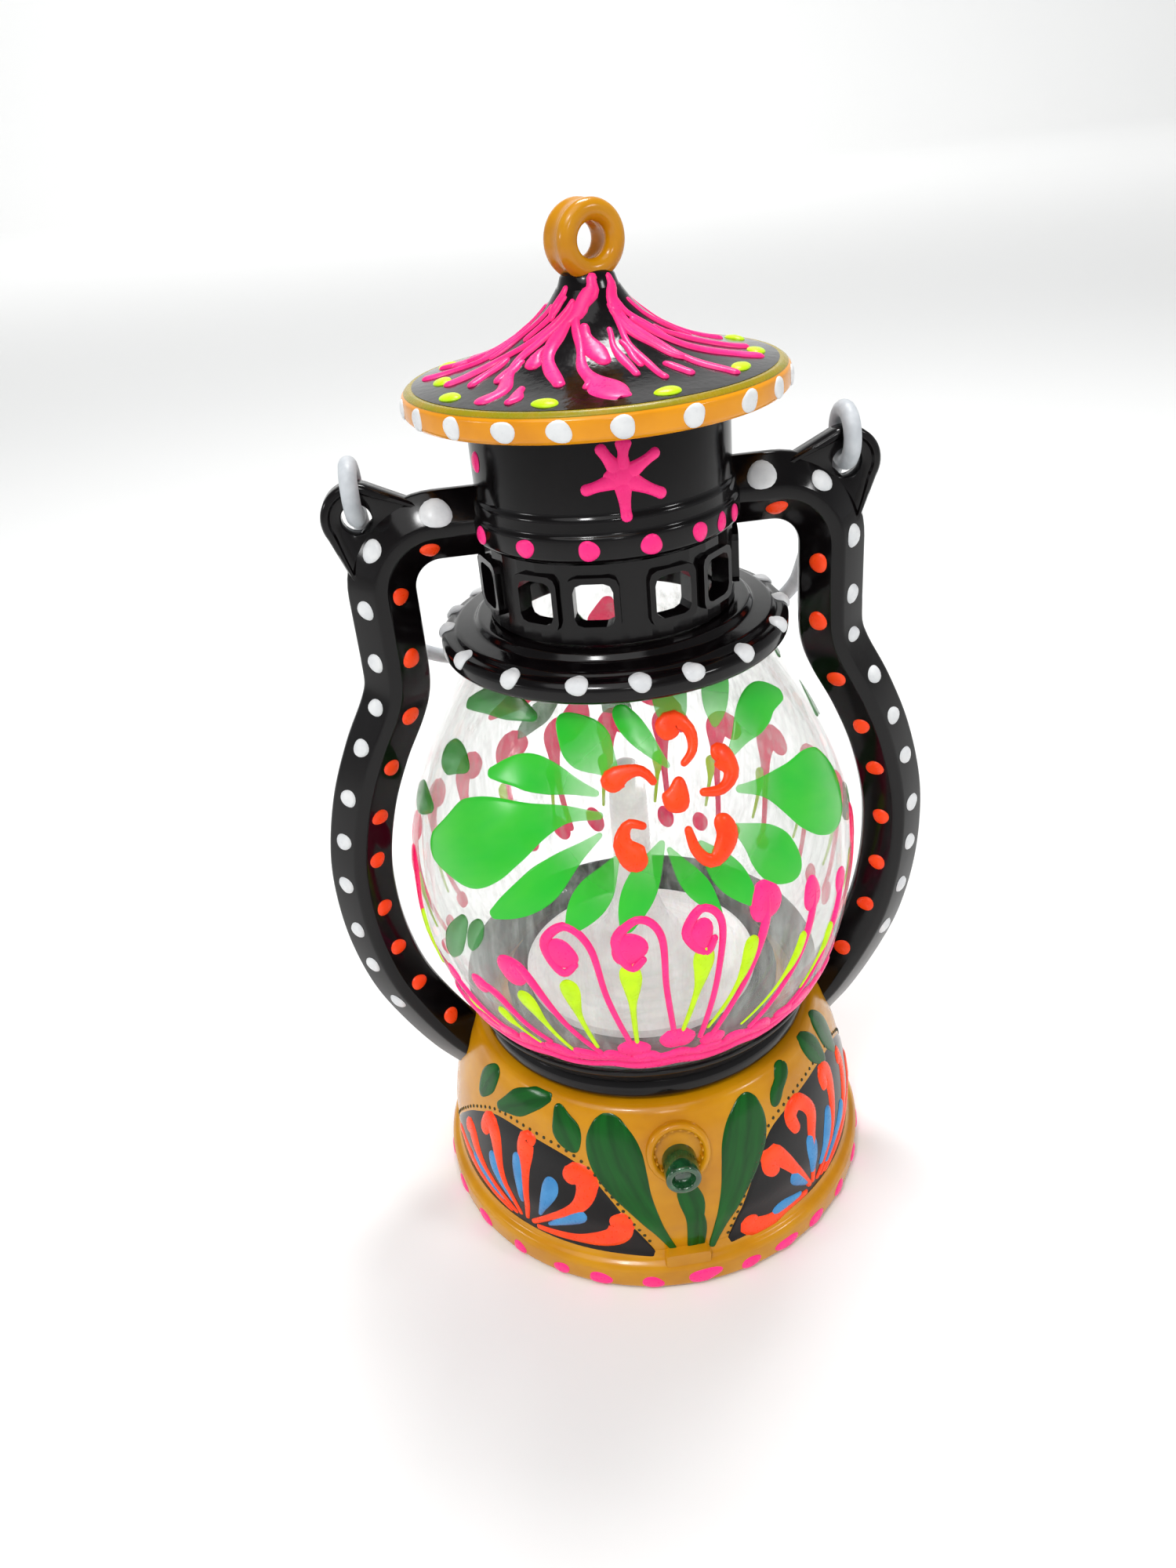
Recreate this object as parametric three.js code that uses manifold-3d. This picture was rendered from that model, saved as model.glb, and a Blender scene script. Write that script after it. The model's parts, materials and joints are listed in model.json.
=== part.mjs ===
// A small hand-painted hurricane lantern of moulded plastic, lit by a battery LED.
// Millimetres, +Z up, the middle of the flat underside at the origin, the knob towards -Y.
import * as THREE from "three";
import Module from "manifold-3d";
import { mergeVertices } from "three/addons/utils/BufferGeometryUtils.js";

const wasm = await Module();
wasm.setup();

// Driving dimensions.
const gap = 0.3;
const lipRadius = 32;
const lipHeight = 4.2;
const shoulderHeight = 27.3;
const shellWall = 1.6;
const globeBottom = 28.6;
const globeTop = 85.6;
const globeWall = 1.2;
const flangeRadius = 21.5;
const flangeBottom = 84.4;
const flangeTop = 88.6;
const collarRadius = 15;
const collarTop = 98.3;
const drumRadius = 15.1;
const drumTop = 114;
const bandRadius = 15.9;
const chimneyBore = 13.2;
const rimRadius = 21.8;
const rimBottom = 112.9;
const rimTop = 116;
const neckTop = 124.6;
const ringHeight = 129.2;
const ringMeanRadius = 2.95;
const ringWire = 1.2;
const windowPairs = 6;
const windowWidth = 4.5;
const windowTall = 5;
const windowHeight = 93.8;
const armWidth = 8.2;
const armRidge = 1.4;
const armThick = 6.4;
const armTopHeight = 100.5;
const armOutX = 27.6;
const armCornerRadius = 7.6;
const earX = 29;
const earHeight = 102.4;
const earRadius = 4.1;
const earHole = 1.8;
const earThick = 2.2;
const bailWire = 1.05;
const eyeRadius = 3;
const bailReach = 43.8;
const bailLean = THREE.MathUtils.degToRad(38.9);
const bossHeight = 22;
const bossReach = 28.4;
const bossTilt = THREE.MathUtils.degToRad(20);
const bossRadius = 4.3;
const bossDepth = 4.5;
const wellRadius = 3.3;
const wellDepth = 1.9;
const pegHeight = 20.3;
const pegRadius = 2.35;
const pegRoot = 26.2;
const pegLength = 5.2;
const cellRadius = 5.8;
const cellLength = 5.4;
const cellRowY = 12;
const cellHeight = 8.2;
const switchY = -14;
const switchThrow = 3;
const coverThick = 1.6;
const roundSegments = 32;

const black = { color: 0x0e0a0c, roughness: 0.18, metalness: 0 };
const mustard = { color: 0xc8860f, roughness: 0.25, metalness: 0 };
const green = { color: 0x0c4f16, roughness: 0.2, metalness: 0 };
const clear = { color: 0xe8f0ec, roughness: 0.05, metalness: 0, transparent: true, opacity: 0.35 };
const frosted = { color: 0xdadad6, roughness: 0.6, metalness: 0 };
const wireGrey = { color: 0xc8ccd0, roughness: 0.6, metalness: 0 };
const steel = { color: 0xb8babc, roughness: 0.3, metalness: 1 };
const ledLens = { color: 0xf6e2a0, roughness: 0.15, metalness: 0 };
const boardGreen = { color: 0x2c6b3a, roughness: 0.5, metalness: 0 };

const lantern = new THREE.Group();

// Turns a geometry into a solid, with its faces pointing out.
function solid(geometry) {
  const bare = geometry.clone();
  for (const name of Object.keys(bare.attributes)) {
    if (name !== "position") {
      bare.deleteAttribute(name);
    }
  }
  const merged = mergeVertices(bare, 1e-4);
  const index = merged.index.array;
  const faces = [];
  for (let i = 0; i < index.length; i += 3) {
    const corner = [index[i], index[i + 1], index[i + 2]];
    if (new Set(corner).size === 3) {
      faces.push(corner);
    }
  }
  const build = (list) => new wasm.Manifold(new wasm.Mesh({
    numProp: 3,
    vertProperties: new Float32Array(merged.attributes.position.array),
    triVerts: new Uint32Array(list.flat()),
  }));
  const made = build(faces);
  return made.volume() > 0 ? made : build(faces.map(([a, b, c]) => [a, c, b]));
}

// Adds a solid to the lantern as one named mesh.
function place(name, shape, look) {
  const mesh = shape.getMesh();
  const geometry = new THREE.BufferGeometry();
  geometry.setAttribute("position", new THREE.BufferAttribute(mesh.vertProperties, 3));
  geometry.setIndex(new THREE.BufferAttribute(mesh.triVerts, 1));
  geometry.computeVertexNormals();
  const node = new THREE.Mesh(geometry, new THREE.MeshStandardMaterial(look));
  node.name = name;
  lantern.add(node);
}

// A turned solid about the upright axis, from [radius, height] points.
function turned(profile, segments = roundSegments) {
  const points = profile.map(([radius, height]) => new THREE.Vector2(radius, height));
  const geometry = new THREE.LatheGeometry(points, segments);
  geometry.rotateX(Math.PI / 2);
  return solid(geometry);
}

// A turned wall: the profile closes on itself.
function turnedWall(profile, segments = roundSegments) {
  return turned([...profile, profile[0]], segments);
}

function rod(radius, low, high, x = 0, y = 0, segments = 24) {
  const geometry = new THREE.CylinderGeometry(radius, radius, high - low, segments);
  geometry.rotateX(Math.PI / 2);
  geometry.translate(x, y, (low + high) / 2);
  return solid(geometry);
}

// A round rod along Y at a given height.
function crossRod(radius, yLow, yHigh, height, x = 0, segments = 28) {
  const geometry = new THREE.CylinderGeometry(radius, radius, yHigh - yLow, segments);
  geometry.translate(x, (yLow + yHigh) / 2, height);
  return solid(geometry);
}

function block(width, depth, height, x, y, z) {
  const geometry = new THREE.BoxGeometry(width, depth, height);
  geometry.translate(x, y, z);
  return solid(geometry);
}

// The base's outer outline, moved outwards by a given amount, from the lip to the shoulder.
function domeOutline(out = 0) {
  return [
    [30 + out, 6.2],
    [30 + out, 12],
    [28.7 + out, 18],
    [26.7 + out, 23.6],
    [25.4 + out, 26.2],
    [24.4 + out, shoulderHeight + out],
  ];
}

// A solid of the dome's shape, filled to the axis.
function domeCore(out) {
  const outline = domeOutline(out);
  return turned([[0, 0.2], [outline[0][0], 0.2], ...outline, [0, shoulderHeight + out]]);
}

// The middle line of one arm, in X and Z, on the side given by the sign.
function armLine(side) {
  const path = new THREE.Path();
  const bendX = armOutX - armCornerRadius;
  path.moveTo(12.5, armTopHeight);
  path.lineTo(bendX, armTopHeight);
  path.absarc(bendX, armTopHeight - armCornerRadius, armCornerRadius, Math.PI / 2, 0, true);
  path.lineTo(armOutX, 85);
  path.splineThru([[27.8, 81], [29, 77.6], [31.9, 72], [34.7, 65], [36.6, 57], [37, 50], [36.4, 43],
    [34.7, 36], [31.9, 30], [28.6, 24.6], [24.5, 19.5]].map(([x, z]) => new THREE.Vector2(x, z)));
  const points = [];
  for (const curve of path.curves) {
    const steps = curve.type === "LineCurve" ? 1 : curve.type === "SplineCurve" ? 20 : 6;
    for (let i = points.length ? 1 : 0; i <= steps; i += 1) {
      points.push(curve.getPoint(i / steps));
    }
  }
  return points.map((point) => new THREE.Vector2(side * point.x, point.y));
}

// An arm's bar: a strip along its middle line, with slopes that meet the flat ridge front and back.
function armBar(side, extra = 0) {
  const line = armLine(side);
  const left = [];
  const right = [];
  line.forEach((point, i) => {
    const before = line[Math.max(i - 1, 0)];
    const after = line[Math.min(i + 1, line.length - 1)];
    const normal = new THREE.Vector2(before.y - after.y, after.x - before.x).normalize();
    left.push(point.clone().addScaledVector(normal, armRidge / 2));
    right.push(point.clone().addScaledVector(normal, -armRidge / 2));
  });
  const slope = (armWidth - armRidge) / 2 + extra;
  const edge = 1.2;
  const rise = (armThick - edge) / 2 + extra;
  const geometry = new THREE.ExtrudeGeometry(new THREE.Shape([...left, ...right.reverse()]), {
    depth: edge,
    bevelEnabled: true,
    bevelSize: slope,
    bevelThickness: rise,
    bevelSegments: 1,
    steps: 1,
  });
  geometry.translate(0, 0, -edge / 2);
  geometry.rotateX(Math.PI / 2);
  return solid(geometry);
}

// A flat plate in the X-Z plane, centred on Y.
function plate(shape, thick) {
  const settings = { depth: thick, bevelEnabled: false, curveSegments: 20 };
  const geometry = new THREE.ExtrudeGeometry(shape, settings);
  geometry.translate(0, 0, -thick / 2);
  geometry.rotateX(Math.PI / 2);
  return solid(geometry);
}

// The lug's outline: a round end around the hole, running down into the arm's corner.
function lugOutline(side, inset) {
  const round = earRadius - inset;
  const shape = new THREE.Shape();
  const steps = 14;
  for (let i = 0; i <= steps; i += 1) {
    const angle = THREE.MathUtils.degToRad(-28 + (148 * i) / steps);
    const x = side * (earX + round * Math.cos(angle));
    const z = earHeight + round * Math.sin(angle);
    if (i === 0) {
      shape.moveTo(x, z);
    } else {
      shape.lineTo(x, z);
    }
  }
  shape.lineTo(side * (21.8 + inset), 103.4 - inset);
  shape.lineTo(side * (24 + inset), 96 + inset);
  shape.lineTo(side * (30.6 - inset), 95 + inset);
  return shape;
}

function lug(side) {
  const flat = lugOutline(side, 0);
  const bead = lugOutline(side, 0);
  const inside = lugOutline(side, 0.75).getPoints();
  bead.holes.push(new THREE.Path(side < 0 ? inside.reverse() : inside));
  const hole = crossRod(earHole, -4, 4, earHeight, side * earX, 24);
  return plate(flat, earThick).add(plate(bead, earThick + 0.6)).subtract(hole);
}

function buildArms() {
  for (const [name, side] of [["arm_left", -1], ["arm_right", 1]]) {
    const drumCore = rod(14.3, armTopHeight - 12, armTopHeight + 12, 0, 0, roundSegments);
    const arm = armBar(side).add(lug(side)).subtract(drumCore).subtract(domeCore(-0.6));
    place(name, arm, black);
  }
}

// Base shell: lip, painted dome, shoulder, arm sockets, knob socket and screw posts in one moulding.
function buildBase() {
  const outer = domeOutline();
  const inner = domeOutline(-shellWall).reverse();
  let shell = turnedWall([
    [31.3, 0], [lipRadius, 0.8], [lipRadius, 3.4], [31.4, lipHeight], [30.5, 4.8],
    ...outer, [16, shoulderHeight], [16, shoulderHeight - shellWall], ...inner,
    [28.4, 2.2], [30, 2.2], [30, 0],
  ]);
  for (const side of [-1, 1]) {
    shell = shell.add(armBar(side, 1.5).intersect(domeCore(1.7)).subtract(domeCore(-1)));
    shell = shell.subtract(armBar(side, gap).subtract(domeCore(-0.9)));
  }
  shell = shell.add(bossRod(bossRadius, -bossDepth, 0)).subtract(bossRod(wellRadius, -wellDepth, 1));
  const notches = 8;
  for (let i = 0; i < notches; i += 1) {
    const angle = (2 * Math.PI * i) / notches;
    const x = wellRadius * Math.cos(angle);
    shell = shell.subtract(bossRod(0.4, -wellDepth, 1, x, wellRadius * Math.sin(angle), 6));
  }
  shell = shell.subtract(crossRod(pegRadius + gap, -pegRoot - 10, -pegRoot + gap, pegHeight));
  const tab = block(6.4, 4, 2.6, 0, -31, 5).intersect(rod(31.9, 0, 10, 0, 0, roundSegments));
  shell = shell.add(tab);
  for (const [x, y] of screwSpots()) {
    const post = rod(2.6, coverThick + gap + 0.3, 24, x, y, 16).intersect(domeCore(-1));
    shell = shell.add(post).subtract(rod(1.2, 0, 10, x, y, 12));
  }
  place("base_shell", shell, mustard);
}

function screwSpots() {
  return [45, 135, 270].map((angle) => {
    const turn = THREE.MathUtils.degToRad(angle);
    return [22.5 * Math.cos(turn), 22.5 * Math.sin(turn)];
  });
}

// A round rod on the knob socket's axis, which leans back with the dome.
function bossRod(radius, low, high, x = 0, up = 0, segments = 28) {
  const geometry = new THREE.CylinderGeometry(radius, radius, high - low, segments);
  geometry.translate(x, -(low + high) / 2, up);
  geometry.rotateX(-bossTilt);
  geometry.translate(0, -bossReach, bossHeight);
  return solid(geometry);
}

// Wick knob: a plain peg with a hollowed end, held in the socket.
function buildKnob() {
  const points = [
    [0, 0], [pegRadius, 0], [pegRadius, pegLength - 0.5], [pegRadius - 0.25, pegLength],
    [1.5, pegLength], [1.2, pegLength - 0.8], [0, pegLength - 1.1],
  ];
  const geometry = new THREE.LatheGeometry(points.map(([r, d]) => new THREE.Vector2(r, d)), 24);
  geometry.rotateX(Math.PI);
  geometry.translate(0, -pegRoot, pegHeight);
  place("wick_knob", solid(geometry), green);
}

// Underside: cover plate with its screws, the battery hatch and the switch slot.
function buildCover() {
  const hatch = block(22, 15, 6, 0, cellRowY, 0);
  const slot = block(7, 3, 6, 0, switchY, 0);
  const disc = turned([[0, 0], [29.7, 0], [29.7, coverThick], [0, coverThick]]);
  let cover = disc.subtract(hatch).subtract(slot);
  screwSpots().forEach(([x, y], i) => {
    cover = cover.subtract(rod(2.5, -1, 1.2, x, y)).subtract(rod(1.3, 0, 3, x, y, 12));
    const slotCut = block(3, 0.6, 0.8, x, y, 0.3);
    const screw = rod(2.1, 0.3, 0.9, x, y).add(rod(0.9, 0.8, 8, x, y, 12)).subtract(slotCut);
    place(`cover_screw_${i + 1}`, screw, steel);
  });
  place("bottom_cover", cover, black);
  const door = block(21.4, 14.4, coverThick, 0, cellRowY, coverThick / 2);
  const screwHole = rod(1.6, -1, 3, 0, cellRowY - 5, 16);
  place("battery_door", door.subtract(screwHole), black);
  const coin = rod(1.3, 0.2, 1.5, 0, cellRowY - 5, 16).subtract(block(2, 0.5, 0.8, 0, cellRowY - 5, 0.3));
  place("door_screw", coin, steel);
}

// Battery bay: a box open below, three button cells in a row along X, and their two contacts.
function buildBattery() {
  const low = coverThick + gap;
  const rowLength = 3 * cellLength + 2 * gap;
  const bay = block(25, 14.4, 13.8, 0, cellRowY, low + 6.9)
    .subtract(block(22.4, 12.2, 25, 0, cellRowY, low));
  place("battery_cradle", bay, black);
  for (let i = 0; i < 3; i += 1) {
    const cell = new THREE.CylinderGeometry(cellRadius, cellRadius, cellLength, 24);
    cell.rotateZ(Math.PI / 2);
    const x = -rowLength / 2 + cellLength / 2 + i * (cellLength + gap) + 1.2;
    cell.translate(x, cellRowY, cellHeight);
    place(`coin_cell_${i + 1}`, solid(cell), steel);
  }
  place("contact_plate", block(0.5, 9, 9, 10.6, cellRowY, cellHeight), steel);
  const turns = [];
  for (let i = 0; i <= 36; i += 1) {
    const angle = (2 * Math.PI * i) / 12;
    const reach = 1.6 + i / 18;
    const along = -7.8 - i * 0.075;
    const y = cellRowY + reach * Math.cos(angle);
    turns.push(new THREE.Vector3(along, y, cellHeight + reach * Math.sin(angle)));
  }
  const section = new THREE.Shape();
  section.absarc(0, 0, 0.25, 0, 2 * Math.PI);
  const spring = new THREE.ExtrudeGeometry(section, {
    extrudePath: new THREE.CatmullRomCurve3(turns), steps: 36, curveSegments: 2,
  });
  place("contact_spring", solid(spring), steel);
}

// Switch: a body on the cover and a slider that shows, sunk, in the slot.
function buildSwitch() {
  const low = coverThick + gap;
  place("switch_body", block(9, 4.4, 3.6, 0, switchY, low + 2.8), black);
  const grip = block(3, 2.3, 1.6, -switchThrow / 2, switchY, 0.5 + 0.7);
  place("switch_slider", grip, wireGrey);
}

// Light: a board under the burner plate, an LED and the frosted trumpet above it.
function buildLight() {
  place("led_board", rod(6, 27.7, 28.7, 0, 0, 24), boardGreen);
  const lens = [[0, 29], [1.9, 29], [1.9, 29.8], [1.5, 29.8], [1.5, 33.4], [1.1, 34.5], [0, 34.9]];
  place("led", turned(lens, 20), ledLens);
  place("burner_plate", turnedWall([
    [2.4, 30.2], [18.4, 30.2], [18.4, shoulderHeight + gap], [19.8, shoulderHeight + gap], [19.8, 31],
    [19.4, 31.4], [2.4, 31.4],
  ]), black);
  place("diffuser", turned([
    [0, 66], [1.6, 65.6], [2.4, 64.4], [2.6, 60], [2.8, 48], [3.6, 42.5], [5.4, 38.6], [8.6, 35.6],
    [13, 33.8], [18.6, 33], [18.6, 31.7], [2.3, 31.7], [2.2, 36.6], [0, 38.4],
  ]), frosted);
}

// Globe: an egg-shaped clear shell, open at both ends.
function buildGlobe() {
  const outer = [
    [22, globeBottom], [22.1, 30.4], [23.2, 32.2], [24.7, 34], [26.5, 36.8], [28.5, 42], [29.6, 48],
    [29.75, 54], [29.1, 60.5], [27.4, 66.4], [24.7, 72.4], [21.4, 78], [18.8, 82.4], [18.3, 84],
    [18.3, globeTop],
  ];
  const inner = outer.map(([radius, height]) => [radius - globeWall, height]).reverse();
  place("globe", turnedWall([...outer, ...inner]), clear);
}

function buildSeatRing() {
  const low = shoulderHeight + gap;
  place("seat_ring", turnedWall([
    [22.4, low], [23.3, low], [23.8, 28.6], [23.8, 29.6], [23.3, 30.5], [22.7, 31], [22.5, 30.6],
    [22.4, 30.2],
  ]), black);
}

// Chimney: a stepped flange on the globe, a collar with windows and a drum with a raised band.
function buildChimney() {
  const step = flangeTop - 0.8;
  place("flange", turnedWall([
    [chimneyBore, flangeTop], [16.6, flangeTop], [17.2, step], [19.4, step - 0.2], [20, step - 0.7],
    [20.9, step - 0.9],
    [flangeRadius, 86.2], [flangeRadius, 84.9], [flangeRadius - 0.5, flangeBottom], [19.4, flangeBottom],
    [18.9, 86], [chimneyBore, 86],
  ]), black);

  const low = flangeTop + gap;
  const section = [[13.4, low], [collarRadius, low], [collarRadius, collarTop], [13.4, collarTop]];
  let collar = turnedWall(section, 36);
  for (let pair = 0; pair < windowPairs; pair += 1) {
    for (const half of [-13, 13]) {
      const angle = -90 - 27 + (360 * pair) / windowPairs + half;
      collar = collar.add(windowBlock(windowWidth + 1.4, windowTall + 1.4, 13.8, collarRadius + 0.5, angle));
      collar = collar.subtract(windowBlock(windowWidth, windowTall, 11, 18, angle));
    }
  }
  place("window_collar", socketed(collar), black);

  const bandLow = collarTop + gap;
  const drum = turnedWall([
    [chimneyBore, bandLow], [bandRadius - 0.5, bandLow], [bandRadius, bandLow + 0.5], [bandRadius, 101.4],
    [bandRadius - 0.4, 101.8], [15.5, 102.6], [15.5, 103.4], [drumRadius, 103.8], [drumRadius, drumTop],
    [chimneyBore, drumTop],
  ]);
  place("drum", socketed(drum), black);
}

// Cuts the shallow sockets that the arms' upper ends sit in.
function socketed(wall) {
  return [-1, 1].reduce((left, side) => {
    const end = armBar(side, gap).subtract(rod(14, 90, 112, 0, 0, roundSegments));
    return left.subtract(end);
  }, wall);
}

// A block with rounded corners that points out from the axis at a given angle.
function windowBlock(width, tall, near, far, angle) {
  const round = 1;
  const w = width / 2;
  const h = tall / 2;
  const shape = new THREE.Shape();
  shape.moveTo(-w + round, -h);
  shape.lineTo(w - round, -h);
  shape.absarc(w - round, -h + round, round, -Math.PI / 2, 0);
  shape.lineTo(w, h - round);
  shape.absarc(w - round, h - round, round, 0, Math.PI / 2);
  shape.lineTo(-w + round, h);
  shape.absarc(-w + round, h - round, round, Math.PI / 2, Math.PI);
  shape.lineTo(-w, -h + round);
  shape.absarc(-w + round, -h + round, round, Math.PI, 1.5 * Math.PI);
  const settings = { depth: far - near, bevelEnabled: false, curveSegments: 1 };
  const geometry = new THREE.ExtrudeGeometry(shape, settings);
  geometry.rotateX(Math.PI / 2);
  geometry.translate(0, -near, windowHeight);
  geometry.rotateZ(THREE.MathUtils.degToRad(angle + 90));
  return solid(geometry);
}

// Roof: a hollow flared cone, the band around its rim and the hanging ring on top.
function buildRoof() {
  place("roof", turned([
    [0, neckTop], [3.4, neckTop], [3.9, 124], [5, 122.6], [6.8, 121], [9.2, 119.4], [12.2, 118], [16, 116.9],
    [20.2, 116.2], [20.2, 114.6], [15.4, 114.4], [12.4, 115.4], [9, 117.2], [6, 119.2], [3.4, 121.6],
    [0, 122.2],
  ]), black);
  place("rim_band", turnedWall([
    [20.5, rimTop], [20.9, rimTop], [rimRadius, 115.3], [rimRadius, 113.4], [rimRadius - 0.5, rimBottom],
    [20.5, rimBottom],
  ]), mustard);
  let ring = turned([[0, neckTop + gap], [3.1, neckTop + gap], [3.1, 125.6], [2.4, 126.2], [0, 126.2]], 28);
  for (const y of [-1.05, 1.05]) {
    const loop = new THREE.TorusGeometry(ringMeanRadius, ringWire, 8, 20);
    loop.rotateX(Math.PI / 2);
    loop.translate(0, y, ringHeight);
    ring = ring.add(solid(loop));
  }
  place("top_ring", ring.subtract(crossRod(1.75, -4, 4, ringHeight, 0, 20)), mustard);
}

// Bail: an eye through each lug hole and a wide U between them, folded down behind.
function buildBail() {
  const pivot = new THREE.Vector3(0, 0, earHeight + eyeRadius);
  const away = new THREE.Vector3(0, Math.sin(bailLean), -Math.cos(bailLean));
  const at = (x, reach) => pivot.clone().addScaledVector(away, reach).setX(x);
  const corner = 13;
  const half = [];
  half.push(at(earX, eyeRadius));
  half.push(at(earX, (eyeRadius + bailReach - corner) / 2));
  for (let i = 0; i <= 6; i += 1) {
    const turn = (Math.PI / 2) * (i / 6);
    half.push(at(earX - corner * (1 - Math.cos(turn)), bailReach - corner * (1 - Math.sin(turn))));
  }
  const route = [...half.map((point) => point.clone()), ...half.reverse().map((p) => p.clone().setX(-p.x))];
  const section = new THREE.Shape();
  section.absarc(0, 0, bailWire, 0, 2 * Math.PI);
  const path = new THREE.CatmullRomCurve3(route, false, "centripetal");
  const wire = new THREE.ExtrudeGeometry(section, { extrudePath: path, steps: 36, curveSegments: 4 });
  let bail = solid(wire);
  for (const side of [-1, 1]) {
    const eye = new THREE.TorusGeometry(eyeRadius, bailWire, 8, 20);
    eye.rotateY(Math.PI / 2);
    eye.translate(side * earX, 0, pivot.z);
    bail = bail.add(solid(eye));
  }
  place("bail", bail, wireGrey);
}

buildBase();
buildKnob();
buildCover();
buildBattery();
buildSwitch();
buildLight();
buildSeatRing();
buildGlobe();
buildChimney();
buildArms();
buildRoof();
buildBail();

export default lantern;
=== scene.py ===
import bpy
import bmesh
import json
import math
import numpy as np
from mathutils import Matrix, Vector


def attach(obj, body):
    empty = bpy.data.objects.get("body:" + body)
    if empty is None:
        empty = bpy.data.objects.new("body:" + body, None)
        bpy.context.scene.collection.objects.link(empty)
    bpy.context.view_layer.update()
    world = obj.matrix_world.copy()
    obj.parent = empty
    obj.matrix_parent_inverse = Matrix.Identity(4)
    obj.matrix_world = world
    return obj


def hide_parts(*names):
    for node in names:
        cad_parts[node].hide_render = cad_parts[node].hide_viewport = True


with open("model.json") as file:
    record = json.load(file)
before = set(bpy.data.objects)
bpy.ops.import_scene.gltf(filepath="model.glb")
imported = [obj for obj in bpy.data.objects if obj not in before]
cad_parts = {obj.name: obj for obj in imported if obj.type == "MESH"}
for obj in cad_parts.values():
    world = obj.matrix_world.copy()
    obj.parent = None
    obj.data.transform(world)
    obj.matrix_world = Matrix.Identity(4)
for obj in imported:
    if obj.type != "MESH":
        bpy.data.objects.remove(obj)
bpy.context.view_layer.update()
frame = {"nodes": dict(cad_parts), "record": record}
scene = bpy.context.scene
scene.view_settings.view_transform = "Standard"  # keeps the poster paints as bright as they are
mm = 0.001
turn = 2 * math.pi


# Catmull-Rom: between two points the line is a cubic, whose slope at each point is half the way
# between its neighbours.
def smoothLine(points, steps=12):
    p = np.asarray(points, float)
    if len(p) < 3:
        t = np.linspace(0, 1, steps * (len(p) - 1) + 1)
        return p[0] + (p[-1] - p[0]) * t.reshape(-1, *([1] * (p.ndim - 1)))
    ends = np.concatenate([[2 * p[0] - p[1]], p, [2 * p[-1] - p[-2]]])
    a, b, c, d = ends[:-3], ends[1:-2], ends[2:-1], ends[3:]
    t = (np.arange(steps) / steps).reshape(-1, *([1] * p.ndim))
    curve = 0.5 * (2 * b + (c - a) * t + (2 * a - 5 * b + 4 * c - d) * t**2 + (3 * b - a - 3 * c + d) * t**3)
    order = (1, 0) + tuple(range(2, curve.ndim))
    return np.concatenate([curve.transpose(order).reshape(-1, *p.shape[1:]), p[-1:]])


# Rounds each corner of a polygon: the corner becomes a quadratic curve between the points at the given
# reach along both sides.
def roundCorners(points, reach, steps=4):
    p = np.asarray(points, float)
    before, after = np.roll(p, 1, 0) - p, np.roll(p, -1, 0) - p
    lengthBefore = np.linalg.norm(before, axis=1, keepdims=True)
    lengthAfter = np.linalg.norm(after, axis=1, keepdims=True)
    start = p + before / lengthBefore * np.minimum(reach, lengthBefore * 0.45)
    end = p + after / lengthAfter * np.minimum(reach, lengthAfter * 0.45)
    t = np.linspace(0, 1, steps + 1)[None, :, None]
    curve = (1 - t) ** 2 * start[:, None] + 2 * t * (1 - t) * p[:, None] + t**2 * end[:, None]
    return curve.reshape(-1, 2)


# Faces of a grid of points, row after row; wrap joins the last column to the first, loop the last row to the first.
def gridFaces(rows, columns, wrap=True, loop=False):
    r, c = np.meshgrid(
        np.arange(rows if loop else rows - 1), np.arange(columns if wrap else columns - 1), indexing="ij"
    )
    nextRow, nextColumn = (r + 1) % rows, (c + 1) % columns
    corners = [r * columns + c, r * columns + nextColumn, nextRow * columns + nextColumn, nextRow * columns + c]
    return np.stack(corners, -1).reshape(-1, 4)


# A part is (points in mm, faces, pattern coordinates).
def asPart(grid, wrap=True, loop=False, pattern=None):
    rows, columns = grid.shape[:2]
    if pattern is None:
        pattern = np.zeros((rows, columns, 2))
    return grid.reshape(-1, 3), gridFaces(rows, columns, wrap, loop), pattern.reshape(-1, 2)


# Turned surface: each profile point (radius, height) runs round a full circle about Z.
def revolve(profile, around=160, closed=False):
    p = np.asarray(profile, float)
    a = np.arange(around) * turn / around
    x = p[:, :1] * np.sin(a)
    y = -p[:, :1] * np.cos(a)
    return asPart(np.stack([x, y, np.broadcast_to(p[:, 1:2], x.shape)], -1), True, closed)


# Tube: a circle carried along a path that lies in one plane, across the path and the plane's normal.
def tubeAlong(path, radius, planeNormal, around=16, closed=False):
    p = np.asarray(path, float)
    along = np.roll(p, -1, 0) - np.roll(p, 1, 0) if closed else np.gradient(p, axis=0)
    along /= np.linalg.norm(along, axis=1, keepdims=True)
    flat = np.asarray(planeNormal, float)
    side = np.cross(along, flat)
    a = (np.arange(around) * turn / around)[None, :, None]
    grid = p[:, None] + radius * (np.cos(a) * side[:, None] + np.sin(a) * flat[None, None])
    if not closed:
        grid = np.concatenate([np.repeat(p[:1, None], around, 1), grid, np.repeat(p[-1:, None], around, 1)])
    return asPart(grid, True, closed)


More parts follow.
